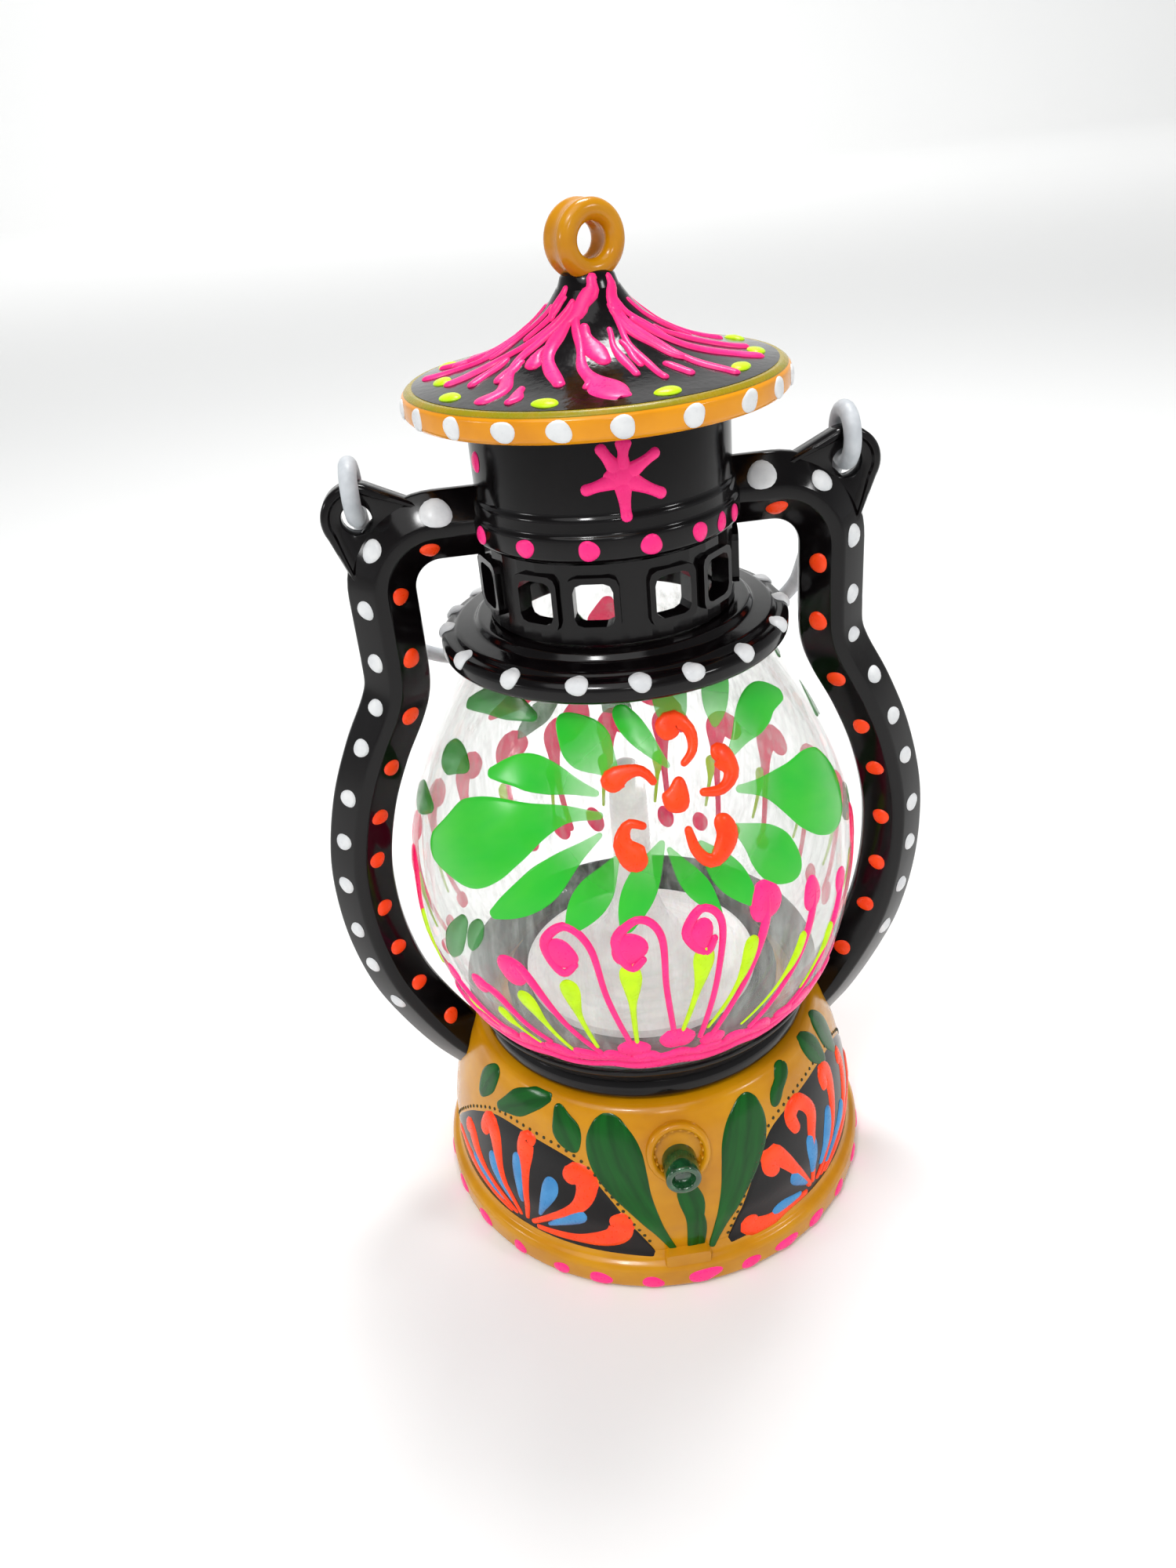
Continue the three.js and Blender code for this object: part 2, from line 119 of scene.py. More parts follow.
# A surface of revolution that paint lies on, read by height, by radius or by the run along its profile
# from the top down, with its outward normal and its pace along the profile.
def paintable(outline, by="height", steps=24, sharp=False):
    line = np.asarray(outline, float) if sharp else smoothLine(outline, steps)
    run = np.concatenate([[0], np.cumsum(np.hypot(*np.diff(line, axis=0).T))])
    key = {"height": line[:, 1], "radius": line[:, 0], "run": run}[by]
    order = np.argsort(key)
    grid = np.linspace(key.min(), key.max(), 600)
    r = np.interp(grid, key[order], line[order, 0])
    z = np.interp(grid, key[order], line[order, 1])
    dr, dz = np.gradient(r, grid), np.gradient(z, grid)
    pace = np.hypot(dr, dz)
    out = 1 if by == "height" else -1
    return {"key": grid, "r": r, "z": z, "nr": out * dz / pace, "nz": -out * dr / pace, "pace": pace}


# One of the surface's values at a key, straight between its neighbours.
def readAt(surface, name, key):
    return np.interp(key, surface["key"], surface[name])


# Point on the surface at an angle from the front and a key, raised along the normal.
def onSurface(surface, angle, key, lift):
    r = readAt(surface, "r", key) + lift * readAt(surface, "nr", key)
    z = readAt(surface, "z", key) + lift * readAt(surface, "nz", key)
    return np.stack([r * np.sin(angle), -r * np.cos(angle), z], -1)


# Brush stroke: a line on the surface with a width along it. Its section is a flat bead, full in the middle
# and nil at both edges, and both ends are rounded by the width at that end.
def stroke(surface, centres, widths, rise=0.35, flat=1.0, around=12, spacing=0.4):
    points = np.asarray(centres, float)
    points = np.stack([np.radians(points[:, 0]), points[:, 1]], -1)
    line = smoothLine(points, 14)
    middle = (line[1:] + line[:-1]) / 2
    step = np.diff(line, axis=0)
    length = np.hypot(
        step[:, 0] * readAt(surface, "r", middle[:, 1]), step[:, 1] * readAt(surface, "pace", middle[:, 1])
    )
    run = np.concatenate([[0], np.cumsum(length)])
    count = int(max(14, run[-1] / spacing))
    t = (1 - np.cos(np.linspace(0, math.pi, count))) / 2
    s = t * run[-1]
    angle, key = np.interp(s, run, line[:, 0]), np.interp(s, run, line[:, 1])
    width = smoothLine(np.asarray(widths, float), 10)
    half = np.maximum(np.interp(t, np.linspace(0, 1, len(width)), width) / 2, 0.12)
    nearStart = np.clip(s / max(half[0], 0.05), 0, 1)
    nearEnd = np.clip((run[-1] - s) / max(half[-1], 0.05), 0, 1)
    end = np.sqrt(1 - (1 - nearStart) ** 2) * np.sqrt(1 - (1 - nearEnd) ** 2)
    r, pace = readAt(surface, "r", key), readAt(surface, "pace", key)
    tx, ty = np.gradient(angle) * r, np.gradient(key) * pace
    size = np.hypot(tx, ty) + 1e-9
    nx, ny = -ty / size, tx / size
    phi = (np.arange(around) * turn / around)[None]
    across = np.cos(phi) * (half * end)[:, None]
    full = rise * end * np.minimum(1, half / 0.5)  # a hair-thin stroke stands lower
    bump = np.where(np.sin(phi) > 0, np.abs(np.sin(phi)) ** flat, 0) * full[:, None]
    lift = bump + np.minimum(np.sin(phi), 0) * 0.06
    newAngle = angle[:, None] + across * nx[:, None] / r[:, None]
    newKey = key[:, None] + across * ny[:, None] / pace[:, None]
    pattern = np.stack([np.broadcast_to(s[:, None], across.shape), np.cos(phi) * half[:, None]], -1)
    grid = onSurface(surface, newAngle, newKey, lift)
    grid[0], grid[-1] = grid[0].mean(0), grid[-1].mean(0)
    return asPart(grid, True, False, pattern)


# Drop of paint: rings about a point on the surface, with height as the square root of one less the squared
# ring radius. The outline wavers by a few slow waves.
def drop(surface, angle, key, wide, tall, rise=0.35, waver=0.06, seed=0, around=22):
    rng = np.random.default_rng(seed + int(abs(angle) * 10) + int(key * 7))
    phi = np.arange(around) * turn / around
    wave = 1 + waver * (np.cos(2 * phi + rng.uniform(0, turn)) + 0.7 * np.cos(3 * phi + rng.uniform(0, turn)))
    ring = np.array([0, 0.3, 0.55, 0.75, 0.9, 0.98, 1, 0.6, 0])[:, None]
    lift = np.concatenate([rise * np.sqrt(1 - ring[:7, 0] ** 2), [-0.08, -0.08]])[:, None]
    r, pace = readAt(surface, "r", key), readAt(surface, "pace", key)
    a = math.radians(angle) + ring * wave * np.cos(phi) * wide / 2 / r
    k = key + ring * wave * np.sin(phi) * tall / 2 / pace
    return asPart(onSurface(surface, a, k, np.broadcast_to(lift, a.shape)))


# Painted field: for each angle a strip from a lower to an upper edge, full height inside and nil at the
# edges, closed below.
def field(surface, angles, lower, upper, rise=0.12, across=14):
    fine = np.linspace(angles[0], angles[-1], 120)
    low, high = np.interp(fine, angles, lower), np.interp(fine, angles, upper)
    t = np.linspace(0, 1, across)
    share = np.concatenate([t, t[::-1]])[None]
    key = low[:, None] + (high - low)[:, None] * share
    edge = np.sqrt(np.clip(np.minimum(t, 1 - t) * 12, 0, 1))
    end = np.clip(np.minimum(np.arange(120), np.arange(120)[::-1]) / 3, 0, 1)[:, None]
    lift = np.concatenate([edge * rise, np.full(across, -0.1)])[None] * end
    grid = onSurface(surface, np.radians(fine)[:, None], key, lift)
    pattern = np.stack([np.broadcast_to(fine[:, None], key.shape), key], -1)
    return asPart(grid, True, False, pattern)


# Joins parts into one mesh in metres, merges doubles, turns the faces outward and hangs it on its body.
def makePiece(name, parts, material, body="lantern", replaces=(), smooth=50):
    start, allPoints, allFaces, allPattern = 0, [], [], []
    for points, faces, pattern in parts:
        allPoints.append(points * mm)
        allFaces.append(faces + start)
        allPattern.append(pattern)
        start += len(points)
    points, faces, pattern = np.concatenate(allPoints), np.concatenate(allFaces), np.concatenate(allPattern)
    mesh = bpy.data.meshes.new(name)
    mesh.from_pydata(points.tolist(), [], faces.tolist())
    layer = mesh.uv_layers.new(name="pattern")
    layer.data.foreach_set("uv", pattern[faces.reshape(-1)].astype(np.float32).reshape(-1))
    work = bmesh.new()
    work.from_mesh(mesh)
    bmesh.ops.remove_doubles(work, verts=work.verts, dist=2e-7)
    bmesh.ops.dissolve_degenerate(work, edges=work.edges, dist=1e-8)
    bmesh.ops.recalc_face_normals(work, faces=work.faces)
    work.to_mesh(mesh)
    work.free()
    mesh.shade_smooth()
    mesh.set_sharp_from_angle(angle=math.radians(smooth))
    mesh.materials.append(material)
    piece = bpy.data.objects.new(name, mesh)
    scene.collection.objects.link(piece)
    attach(piece, body)
    if replaces:
        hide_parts(*replaces)
    return piece


# sRGB hex to linear: a straight foot below 0.04045 and a 2.4 power above it.
def linear(colour):
    raw = np.array([int(colour[i:i + 2], 16) for i in (1, 3, 5)]) / 255
    light = np.where(raw <= 0.04045, raw / 12.92, ((raw + 0.055) / 1.055) ** 2.4)
    return (float(light[0]), float(light[1]), float(light[2]), 1.0)


# Adds a node; names with a capital letter and numbers are its inputs, the others its own settings.
def addNode(tree, kind, settings=None, links=None):
    node = tree.nodes.new(kind)
    for name, value in (settings or {}).items():
        if isinstance(name, int) or name[0].isupper():
            node.inputs[name].default_value = value
        else:
            setattr(node, name, value)
    for name, source in (links or {}).items():
        tree.links.new(source, node.inputs[name])
    return node


# A coat of paint or moulded plastic: two shades in soft patches, a roughness that drifts, and a low bump.
# Sizes are in millimetres; stretch draws the patches out, as a brush or a mould's flow does.
def coatMaterial(name, look):
    material = bpy.data.materials.new(name)
    material.use_nodes = True
    tree = material.node_tree
    tree.nodes.clear()
    place = addNode(tree, "ShaderNodeTexCoord")
    source = place.outputs["UV" if look.get("brushed") else "Object"]
    unit = 1 if look.get("brushed") else 1000
    stretch = look.get("stretch", (1, 1, 1))
    scale = tuple(unit * s for s in stretch)
    mapped = addNode(tree, "ShaderNodeMapping", {"Scale": scale}, {"Vector": source})
    patches = addNode(
        tree, "ShaderNodeTexNoise", {"Scale": 1 / look["patch"], "Detail": 3.0, "Roughness": 0.55},
        {"Vector": mapped.outputs["Vector"]},
    )
    ramp = addNode(
        tree, "ShaderNodeMapRange",
        {"From Min": 0.5 - look.get("soft", 0.16), "From Max": 0.5 + look.get("soft", 0.16)},
        {"Value": patches.outputs["Fac"]},
    )
    colour = addNode(
        tree, "ShaderNodeMix", {"data_type": "RGBA"}, {"Factor": ramp.outputs["Result"]},
    )
    colour.inputs[6].default_value = linear(look["colour"])
    colour.inputs[7].default_value = linear(look["shade"])
    grain = addNode(
        tree, "ShaderNodeTexNoise", {"Scale": 1 / look["grain"], "Detail": 2.0}, {"Vector": mapped.outputs["Vector"]},
    )
    rough = addNode(
        tree, "ShaderNodeMapRange",
        {"From Min": 0.3, "From Max": 0.7, "To Min": look["roughness"] * 0.75, "To Max": look["roughness"] * 1.3},
        {"Value": grain.outputs["Fac"]},
    )
    bump = addNode(
        tree, "ShaderNodeBump", {"Strength": look.get("bump", 0.2), "Distance": look.get("depth", 0.05) * mm},
        {"Height": grain.outputs["Fac"]},
    )
    shader = addNode(
        tree, "ShaderNodeBsdfPrincipled",
        {
            "IOR": look.get("ior", 1.5),
            "Metallic": look.get("metallic", 0.0),
            "Specular IOR Level": look.get("specular", 0.5),
            "Coat Weight": look.get("coat", 0.0),
            "Coat Roughness": 0.06,
            # The glow setting lights the paint from within in its own colour: painted light.
            "Emission Strength": look.get("paintedGlow", 0.0),
            "Emission Color": linear(look["colour"]),
            "Subsurface Weight": look.get("subsurface", 0.0),
            "Subsurface Scale": look.get("subsurfaceScale", 0.5) * mm,
        },
        {
            "Base Color": colour.outputs[2],
            "Roughness": rough.outputs["Result"],
            "Normal": bump.outputs["Normal"],
        },
    )
    if "alpha" in look:
        low, high = look["alpha"]
        alpha = addNode(
            tree, "ShaderNodeMapRange", {"From Min": 0.3, "From Max": 0.7, "To Min": low, "To Max": high},
            {"Value": patches.outputs["Fac"]},
        )
        if "rootFade" in look:  # thin and yellowish at the stroke's root, full further out
            split = addNode(tree, "ShaderNodeSeparateXYZ", links={"Vector": place.outputs["UV"]})
            tree.links.new(split.outputs["X"], alpha.inputs["Value"])
            alpha.inputs["From Min"].default_value = 0.0
            alpha.inputs["From Max"].default_value = look["rootFade"]
            alpha.interpolation_type = "SMOOTHSTEP"
            young = addNode(
                tree, "ShaderNodeMapRange",
                {"From Max": look["rootFade"] * 1.2, "To Min": 1.0, "To Max": 0.0}, {"Value": split.outputs["X"]},
            )
            blend = addNode(
                tree, "ShaderNodeMath", {"operation": "MAXIMUM"},
                {0: young.outputs["Result"], 1: ramp.outputs["Result"]},
            )
            tree.links.new(blend.outputs["Value"], colour.inputs["Factor"])
        tree.links.new(alpha.outputs["Result"], shader.inputs["Alpha"])
    output = addNode(tree, "ShaderNodeOutputMaterial")
    tree.links.new(shader.outputs["BSDF"], output.inputs["Surface"])
    return material


# Gloss black acrylic lacquer over ABS: deep black, small sharp highlights, faint dust and brush drag.
blackLacquer = coatMaterial("blackLacquerOnAbs", {
    "colour": "#060405", "shade": "#0c090a", "patch": 6, "grain": 1.4, "roughness": 0.13, "bump": 0.14,
    "depth": 0.05, "ior": 1.4, "specular": 0.4, "stretch": (1, 1, 0.6),
})
# The same lacquer brushed down the roof: drag lines run from the neck to the rim.
roofLacquer = coatMaterial("brushedBlackLacquer", {
    "colour": "#060405", "shade": "#0d090b", "patch": 4, "grain": 0.9, "roughness": 0.14, "bump": 0.4,
    "depth": 0.07, "ior": 1.42, "specular": 0.36, "stretch": (1, 1, 0.3),
})
# Mustard poster enamel on polystyrene: warm, a little uneven where the brush went over twice.
mustardEnamel = coatMaterial("mustardEnamel", {
    "colour": "#d49408", "shade": "#c07e06", "patch": 9, "grain": 1.6, "roughness": 0.2, "bump": 0.15,
    "depth": 0.06, "ior": 1.46, "specular": 0.45, "soft": 0.2, "stretch": (1, 1, 1.6),
})
# Rim enamel: a cleaner orange-yellow coat.
rimEnamel = coatMaterial("orangeMustardEnamel", {
    "colour": "#e8980c", "shade": "#d88808", "patch": 7, "grain": 1.5, "roughness": 0.2, "bump": 0.12,
    "depth": 0.05, "ior": 1.46, "specular": 0.45,
})
# Opaque acrylic outliner: soft raised beads with a satin skin.
beadPaint = {"patch": 2.5, "grain": 0.5, "roughness": 0.32, "bump": 0.1, "depth": 0.03, "ior": 1.45, "specular": 0.35}
# Pink, crimson, orange and lime carry a small glow: painted light that brightens them.
pinkPaint = coatMaterial("pinkAcrylic", {**beadPaint, "colour": "#ff2f86", "shade": "#f0247a", "paintedGlow": 0.12})
# Crimson: the pink as it looks on the globe's far side from within, a darker copy that is painted shade; its larger
# glow is painted light.
shadedPinkPaint = coatMaterial("pinkAcrylicPaintedShade", {**beadPaint, "colour": "#e8105a", "shade": "#c81048", "paintedGlow": 0.35})
# Olive: the mustard as it looks on the rim's upward bevel, a darker copy of the enamel that is painted shade.
oliveRimShade = coatMaterial("oliveRimShade", {**beadPaint, "colour": "#8d860e", "shade": "#a0860c", "roughness": 0.25})
orangePaint = coatMaterial("orangeAcrylic", {**beadPaint, "colour": "#ff4a18", "shade": "#f43c10", "paintedGlow": 0.1})
neonPaint = coatMaterial("limeAcrylic", {**beadPaint, "colour": "#c9f40a", "shade": "#b6e006", "paintedGlow": 0.08})
bluePaint = coatMaterial("skyBlueAcrylic", {**beadPaint, "colour": "#4a96d0", "shade": "#3c86c2"})
whitePaint = coatMaterial("whiteAcrylic", {**beadPaint, "colour": "#e6e7e7", "shade": "#d6d8da"})
pipPaint = coatMaterial("darkPips", {**beadPaint, "colour": "#3a3a10", "shade": "#2a2a0c"})
# Leaf green glass paint, brushed thick on the enamel: dark, glossy, with brush lines along the leaf.
leafPaint = coatMaterial("deepGreenGlassPaint", {
    "colour": "#012e08", "shade": "#086418", "patch": 1.6, "grain": 0.7, "roughness": 0.16, "bump": 0.15,
    "depth": 0.05, "ior": 1.42, "specular": 0.4, "brushed": True, "stretch": (0.12, 1.0, 1), "soft": 0.3,
})
# Petal green glass paint: light comes through it, thicker in the middle of the stroke, with a faint glow that is
# painted light.
petalPaint = coatMaterial("brightGreenGlassPaint", {
    "colour": "#06b62a", "shade": "#46c832", "patch": 5, "grain": 1.6, "roughness": 0.2, "bump": 0.08,
    "depth": 0.04, "ior": 1.45, "specular": 0.4, "brushed": True, "stretch": (0.3, 0.8, 1),
    "alpha": (0.42, 0.92), "rootFade": 9.0, "paintedGlow": 0.1, "soft": 0.35,
})
markPaint = coatMaterial("middleGreenGlassPaint", {
    "colour": "#149a2c", "shade": "#2f7a24", "patch": 3, "grain": 1.2, "roughness": 0.2, "bump": 0.1,
    "depth": 0.04, "ior": 1.45, "specular": 0.4, "brushed": True, "stretch": (0.3, 0.9, 1), "alpha": (0.55, 0.88),
})
knobPlastic = coatMaterial("greenPolystyrene", {
    "colour": "#1d5a30", "shade": "#0c3a1c", "patch": 1.6, "grain": 0.8, "roughness": 0.1, "bump": 0.15,
    "depth": 0.05, "ior": 1.59, "specular": 0.6, "coat": 0.6,
})
# Frosted polypropylene trumpet: soft milky white that spreads the light, with a glow that whitens it: painted light.
frosted = coatMaterial("frostedPolypropylene", {
    "colour": "#f0f1f0", "shade": "#dfe2e1", "patch": 5, "grain": 1.2, "roughness": 0.3, "bump": 0.1,
    "depth": 0.05, "ior": 1.49, "subsurface": 0.2, "subsurfaceScale": 1.5, "paintedGlow": 0.22, "stretch": (1, 1, 3),
})
# PVC-coated wire: pale grey, slightly chalky.
coatedWire = coatMaterial("paleGreyPvcCoat", {
    "colour": "#c9cdd1", "shade": "#b4b9be", "patch": 2.4, "grain": 0.5, "roughness": 0.45, "bump": 0.3,
    "depth": 0.04, "ior": 1.52,
})
blackAbs = coatMaterial("blackAbs", {
    "colour": "#131112", "shade": "#1b191a", "patch": 5, "grain": 0.6, "roughness": 0.38, "bump": 0.25,
    "depth": 0.03, "ior": 1.5,
})
steelPlate = coatMaterial("nickelPlatedSteel", {
    "colour": "#b9bbbd", "shade": "#a2a4a6", "patch": 3, "grain": 0.4, "roughness": 0.28, "bump": 0.2,
    "depth": 0.02, "metallic": 1.0,
})
greyAbs = coatMaterial("greyAbs", {
    "colour": "#c4c8cb", "shade": "#b4b8bb", "patch": 3, "grain": 0.5, "roughness": 0.42, "bump": 0.2, "depth": 0.02,
})
boardLaminate = coatMaterial("greenGlassEpoxyBoard", {
    "colour": "#2c6b3a", "shade": "#235a30", "patch": 2, "grain": 0.4, "roughness": 0.4, "bump": 0.3, "depth": 0.02,
})
ledEpoxy = coatMaterial("warmEpoxyLens", {
    "colour": "#f6e2a0", "shade": "#efd68c", "patch": 2, "grain": 0.6, "roughness": 0.12, "bump": 0.1,
    "depth": 0.02, "ior": 1.54,
})
slotMaterials = {
    "black_plastic": blackAbs, "mustard_plastic": mustardEnamel, "green_plastic": knobPlastic,
    "steel": steelPlate, "grey_plastic": greyAbs, "board": boardLaminate, "led_lens": ledEpoxy,
    "frosted_plastic": frosted, "wire": coatedWire,
}


# Clear crystal polystyrene, blow moulded: see-through face on, milky and shiny at the edge, with upright drag lines
# from the wash of varnish.
def clearShellMaterial():
    look = {"streak": 1.1, "tall": 14.0, "clear": 0.02, "hazy": 0.27, "edge": 0.5}
    material = bpy.data.materials.new("clearPolystyrene")
    material.use_nodes = True
    tree = material.node_tree
    tree.nodes.clear()
    place = addNode(tree, "ShaderNodeTexCoord")
    drawn = addNode(
        tree, "ShaderNodeMapping",
        {"Scale": (1000 / look["streak"], 1000 / look["streak"], 1000 / look["tall"])},
        {"Vector": place.outputs["Object"]},
    )
    streaks = addNode(
        tree, "ShaderNodeTexNoise", {"Scale": 1.0, "Detail": 4.0, "Roughness": 0.6},
        {"Vector": drawn.outputs["Vector"]},
    )
    wide = addNode(
        tree, "ShaderNodeMapping", {"Scale": (160, 160, 60)}, {"Vector": place.outputs["Object"]},
    )
    clouds = addNode(
        tree, "ShaderNodeTexNoise", {"Scale": 1.0, "Detail": 2.0}, {"Vector": wide.outputs["Vector"]},
    )
    haze = addNode(
        tree, "ShaderNodeMapRange",
        {"From Min": 0.46, "From Max": 0.74, "To Min": look["clear"], "To Max": look["hazy"]},
        {"Value": streaks.outputs["Fac"]},
    )
    cloudy = addNode(
        tree, "ShaderNodeMapRange", {"From Min": 0.35, "From Max": 0.7, "To Min": 0.45, "To Max": 1.3},
        {"Value": clouds.outputs["Fac"]},
    )
    film = addNode(
        tree, "ShaderNodeMath", {"operation": "MULTIPLY"}, {0: haze.outputs["Result"], 1: cloudy.outputs["Result"]},
    )
    rim = addNode(tree, "ShaderNodeLayerWeight", {"Blend": 0.22})
    rimPart = addNode(
        tree, "ShaderNodeMath", {"operation": "MULTIPLY", 1: look["edge"]}, {0: rim.outputs["Facing"]},
    )
    alpha = addNode(
        tree, "ShaderNodeMath", {"operation": "ADD", "use_clamp": True},
        {0: film.outputs["Value"], 1: rimPart.outputs["Value"]},
    )
    bump = addNode(
        tree, "ShaderNodeBump", {"Strength": 0.25, "Distance": 0.08 * mm}, {"Height": streaks.outputs["Fac"]},
    )
    shader = addNode(
        tree, "ShaderNodeBsdfPrincipled",
        {
            "Base Color": linear("#e4eae4"), "Roughness": 0.07, "IOR": 1.59, "Specular IOR Level": 1.0,
            "Coat Weight": 0.5, "Coat Roughness": 0.03,
        },
        {"Normal": bump.outputs["Normal"], "Alpha": alpha.outputs["Value"]},
    )
    output = addNode(tree, "ShaderNodeOutputMaterial")
    tree.links.new(shader.outputs["BSDF"], output.inputs["Surface"])
    return material


clearShell = clearShellMaterial()
slotMaterials["clear_plastic"] = clearShell
recordSlots = {part["node"]: part["material_slot"] for part in frame["record"]["subparts"]}
for nodeName, node in frame["nodes"].items():
    for slot in node.material_slots:
        slot.material = slotMaterials[recordSlots[nodeName]]
print("materials ready")


base = {
    "lip": [(30, 0), (31.2, 0), (31.75, 0.7), (31.75, 3.5), (31.3, 4.2), (30.6, 4.6), (30.3, 5.2), (30.05, 6.2)],
    "dome": [(30, 6.6), (30, 9.2), (29.95, 12), (28.7, 18), (26.75, 23.6), (25.5, 26.0)],
    "shoulder": [(25.1, 26.7), (24.4, 27.2), (23.4, 27.3), (16, 27.3)],
    "inside": [(16, 25.7), (23.6, 25.7), (28.2, 12), (28.3, 6), (28.4, 2.2), (30, 2.2)],
}
domeFace = paintable([(30.3, 4.9), (30.05, 6.2), *base["dome"][1:], (24.6, 27.1)])
lipFace = paintable([(31.2, 0.2), (31.72, 0.75), (31.75, 1.2), (31.75, 3.5)], sharp=True)
baseProfile = np.concatenate([
    roundCorners(base["lip"], 0.25, 2), smoothLine(base["dome"], 8), base["shoulder"], base["inside"],
])
boss = {"tilt": math.radians(20), "reach": 28.4, "height": 22, "outer": 4.3, "well": 3.3, "deep": 1.9}


# Turned about the knob socket's leaning axis: each (radius, distance out along the axis) runs round a circle.
def onBoss(profile, around=64, closed=False):
    p = np.asarray(profile, float)
    a = np.arange(around) * turn / around
    x, up = p[:, :1] * np.cos(a), p[:, :1] * np.sin(a)
    out = np.broadcast_to(p[:, 1:2], x.shape)
    c, s = math.cos(boss["tilt"]), math.sin(boss["tilt"])
    y = -boss["reach"] - out * c + up * s
    z = boss["height"] + out * s + up * c
    return asPart(np.stack([x, y, z], -1), True, closed)


bossRing = roundCorners([
    (boss["well"], -3.2), (boss["well"], -0.25), (boss["well"] + 0.3, 0), (boss["outer"] - 0.35, 0),
    (boss["outer"], -0.4), (boss["outer"] + 0.1, -4.2), (boss["well"], -4.2),
], 0.2, 3)
bossFloor = [(0, -boss["deep"]), (boss["well"] + 0.2, -boss["deep"]), (boss["well"] + 0.2, -3), (0, -3)]


# Fine ribs inside the socket: thin round rods along its wall, closed to a point at both ends.
def bossRibs(count=18):
    parts = []
    for i in range(count):
        a = turn * i / count
        ribs = np.array([(0.22 * math.cos(b), 0.22 * math.sin(b)) for b in np.arange(8) * turn / 8])
        x = (boss["well"] - 0.02) * math.cos(a) + ribs[:, 0]
        up = (boss["well"] - 0.02) * math.sin(a) + ribs[:, 1]
        c, s = math.cos(boss["tilt"]), math.sin(boss["tilt"])
        rows = []
        for out in (-1.9, -0.35, -0.3):
            px, pu = (x, up) if out < -0.31 else (np.full(8, x.mean()), np.full(8, up.mean()))
            rows.append(np.stack([px, -boss["reach"] - out * c + pu * s, boss["height"] + out * s + pu * c], -1))
        rows.insert(0, np.repeat(rows[0].mean(0)[None], 8, 0))
        parts.append(asPart(np.array(rows)))
    return parts


# The tab at the lip's front, a block with rounded ends over the mould seam.
def lipTab():
    outline = roundCorners([(-3.2, 4.0), (3.2, 4.0), (3.2, 5.9), (2.6, 6.3), (-2.6, 6.3), (-3.2, 5.9)], 0.4, 4)
    rows = []
    middle = outline.mean(0)
    for inset, radius in ((1, 30.0), (0, 30.0), (0, 31.2), (0.06, 31.5), (1, 31.5)):
        p = outline + (middle - outline) * inset
        a = p[:, 0] / 31
        rows.append(np.stack([radius * np.sin(a), -radius * np.cos(a), p[:, 1]], -1))
    return asPart(np.array(rows))


baseParts = [revolve(baseProfile, 192, True), onBoss(bossRing, closed=True), onBoss(bossFloor), *bossRibs(), lipTab()]
makePiece("baseShell", baseParts, mustardEnamel, replaces=["base_shell"])

# Knob: a plain peg with a rounded end and a dished face, turned about its own axis.
peg = {"radius": 2.35, "root": 26.2, "length": 5.2, "height": 20.3}
pegLine = roundCorners([
    (0, 0), (peg["radius"], 0), (peg["radius"], peg["length"] - 0.05), (1.55, peg["length"]),
    (1.3, peg["length"] - 1.3), (0, peg["length"] - 1.7),
], 0.35, 5)
pegLine = pegLine[pegLine[:, 1] > -1]
pegAngle = np.arange(48) * turn / 48
pegX, pegUp = pegLine[:, :1] * np.cos(pegAngle), pegLine[:, :1] * np.sin(pegAngle)
pegPoints = np.stack(np.broadcast_arrays(pegX, -peg["root"] - pegLine[:, 1:2], peg["height"] + pegUp), -1)
makePiece("wickKnob", [asPart(pegPoints, True, True)], knobPlastic, replaces=["wick_knob"])

# Painted leaves, panels and fans of the base: points are (angle, height) in degrees and millimetres,
# and the second list is the widths in millimetres from end to end.
leaves = [
    ([(-20, 26.6), (-18.5, 22.5), (-14, 17), (-8.5, 11.5), (-3, 5.6)], [2.4, 6.4, 7.4, 6.2, 4.2, 2.6, 1.4, 0.8]),
    ([(23.5, 26.2), (20, 21.5), (15, 15.5), (10.5, 10.5), (6.4, 5.2)], [2.0, 5.8, 6.8, 5.8, 4.2, 2.8, 1.6, 0.9]),
    ([(0.6, 17.0), (2.6, 12.5), (1.4, 5.0)], [2.6, 3.4, 2.4, 1.8, 1.4]),
    ([(3.8, 13.0), (4.4, 9.5), (3.6, 5.2)], [0.8, 1.2, 1.2, 0.8]),
    ([(-28.5, 20.9), (-31.5, 23), (-36, 26.4)], [1.0, 3.6, 4.2, 2.6, 1.0]),
    ([(-38.5, 26.9), (-45, 25.6), (-52, 23.6), (-58, 21.8)], [1.2, 2.8, 3.6, 3.8, 2.4, 1.0]),
    ([(-62, 26.4), (-65, 23.6), (-67, 20.8)], [1.4, 3.2, 4.0, 3.0, 1.0]),
    ([(40, 26.9), (36.5, 25.2), (33.5, 24.2), (31, 22.6)], [2.0, 2.6, 2.0, 2.2, 1.2]),
    ([(52, 27.2), (55, 24.4), (58.5, 20.9)], [1.4, 3.4, 4.0, 2.8, 1.0]),
    ([(64, 27), (66, 23), (67.5, 18.8)], [1.6, 4.0, 4.6, 3.2, 1.2]),
]
backLeaves = [([(a + 180, z) for a, z in line], width) for line, width in leaves[:3]]
sideLeaves = [([(180 - a, z) for a, z in line], width) for line, width in leaves[3:]]
leafParts = [stroke(domeFace, line, width, 0.16, 0.4, 20) for line, width in leaves + backLeaves + sideLeaves]
makePiece("baseLeaves", leafParts, leafPaint)

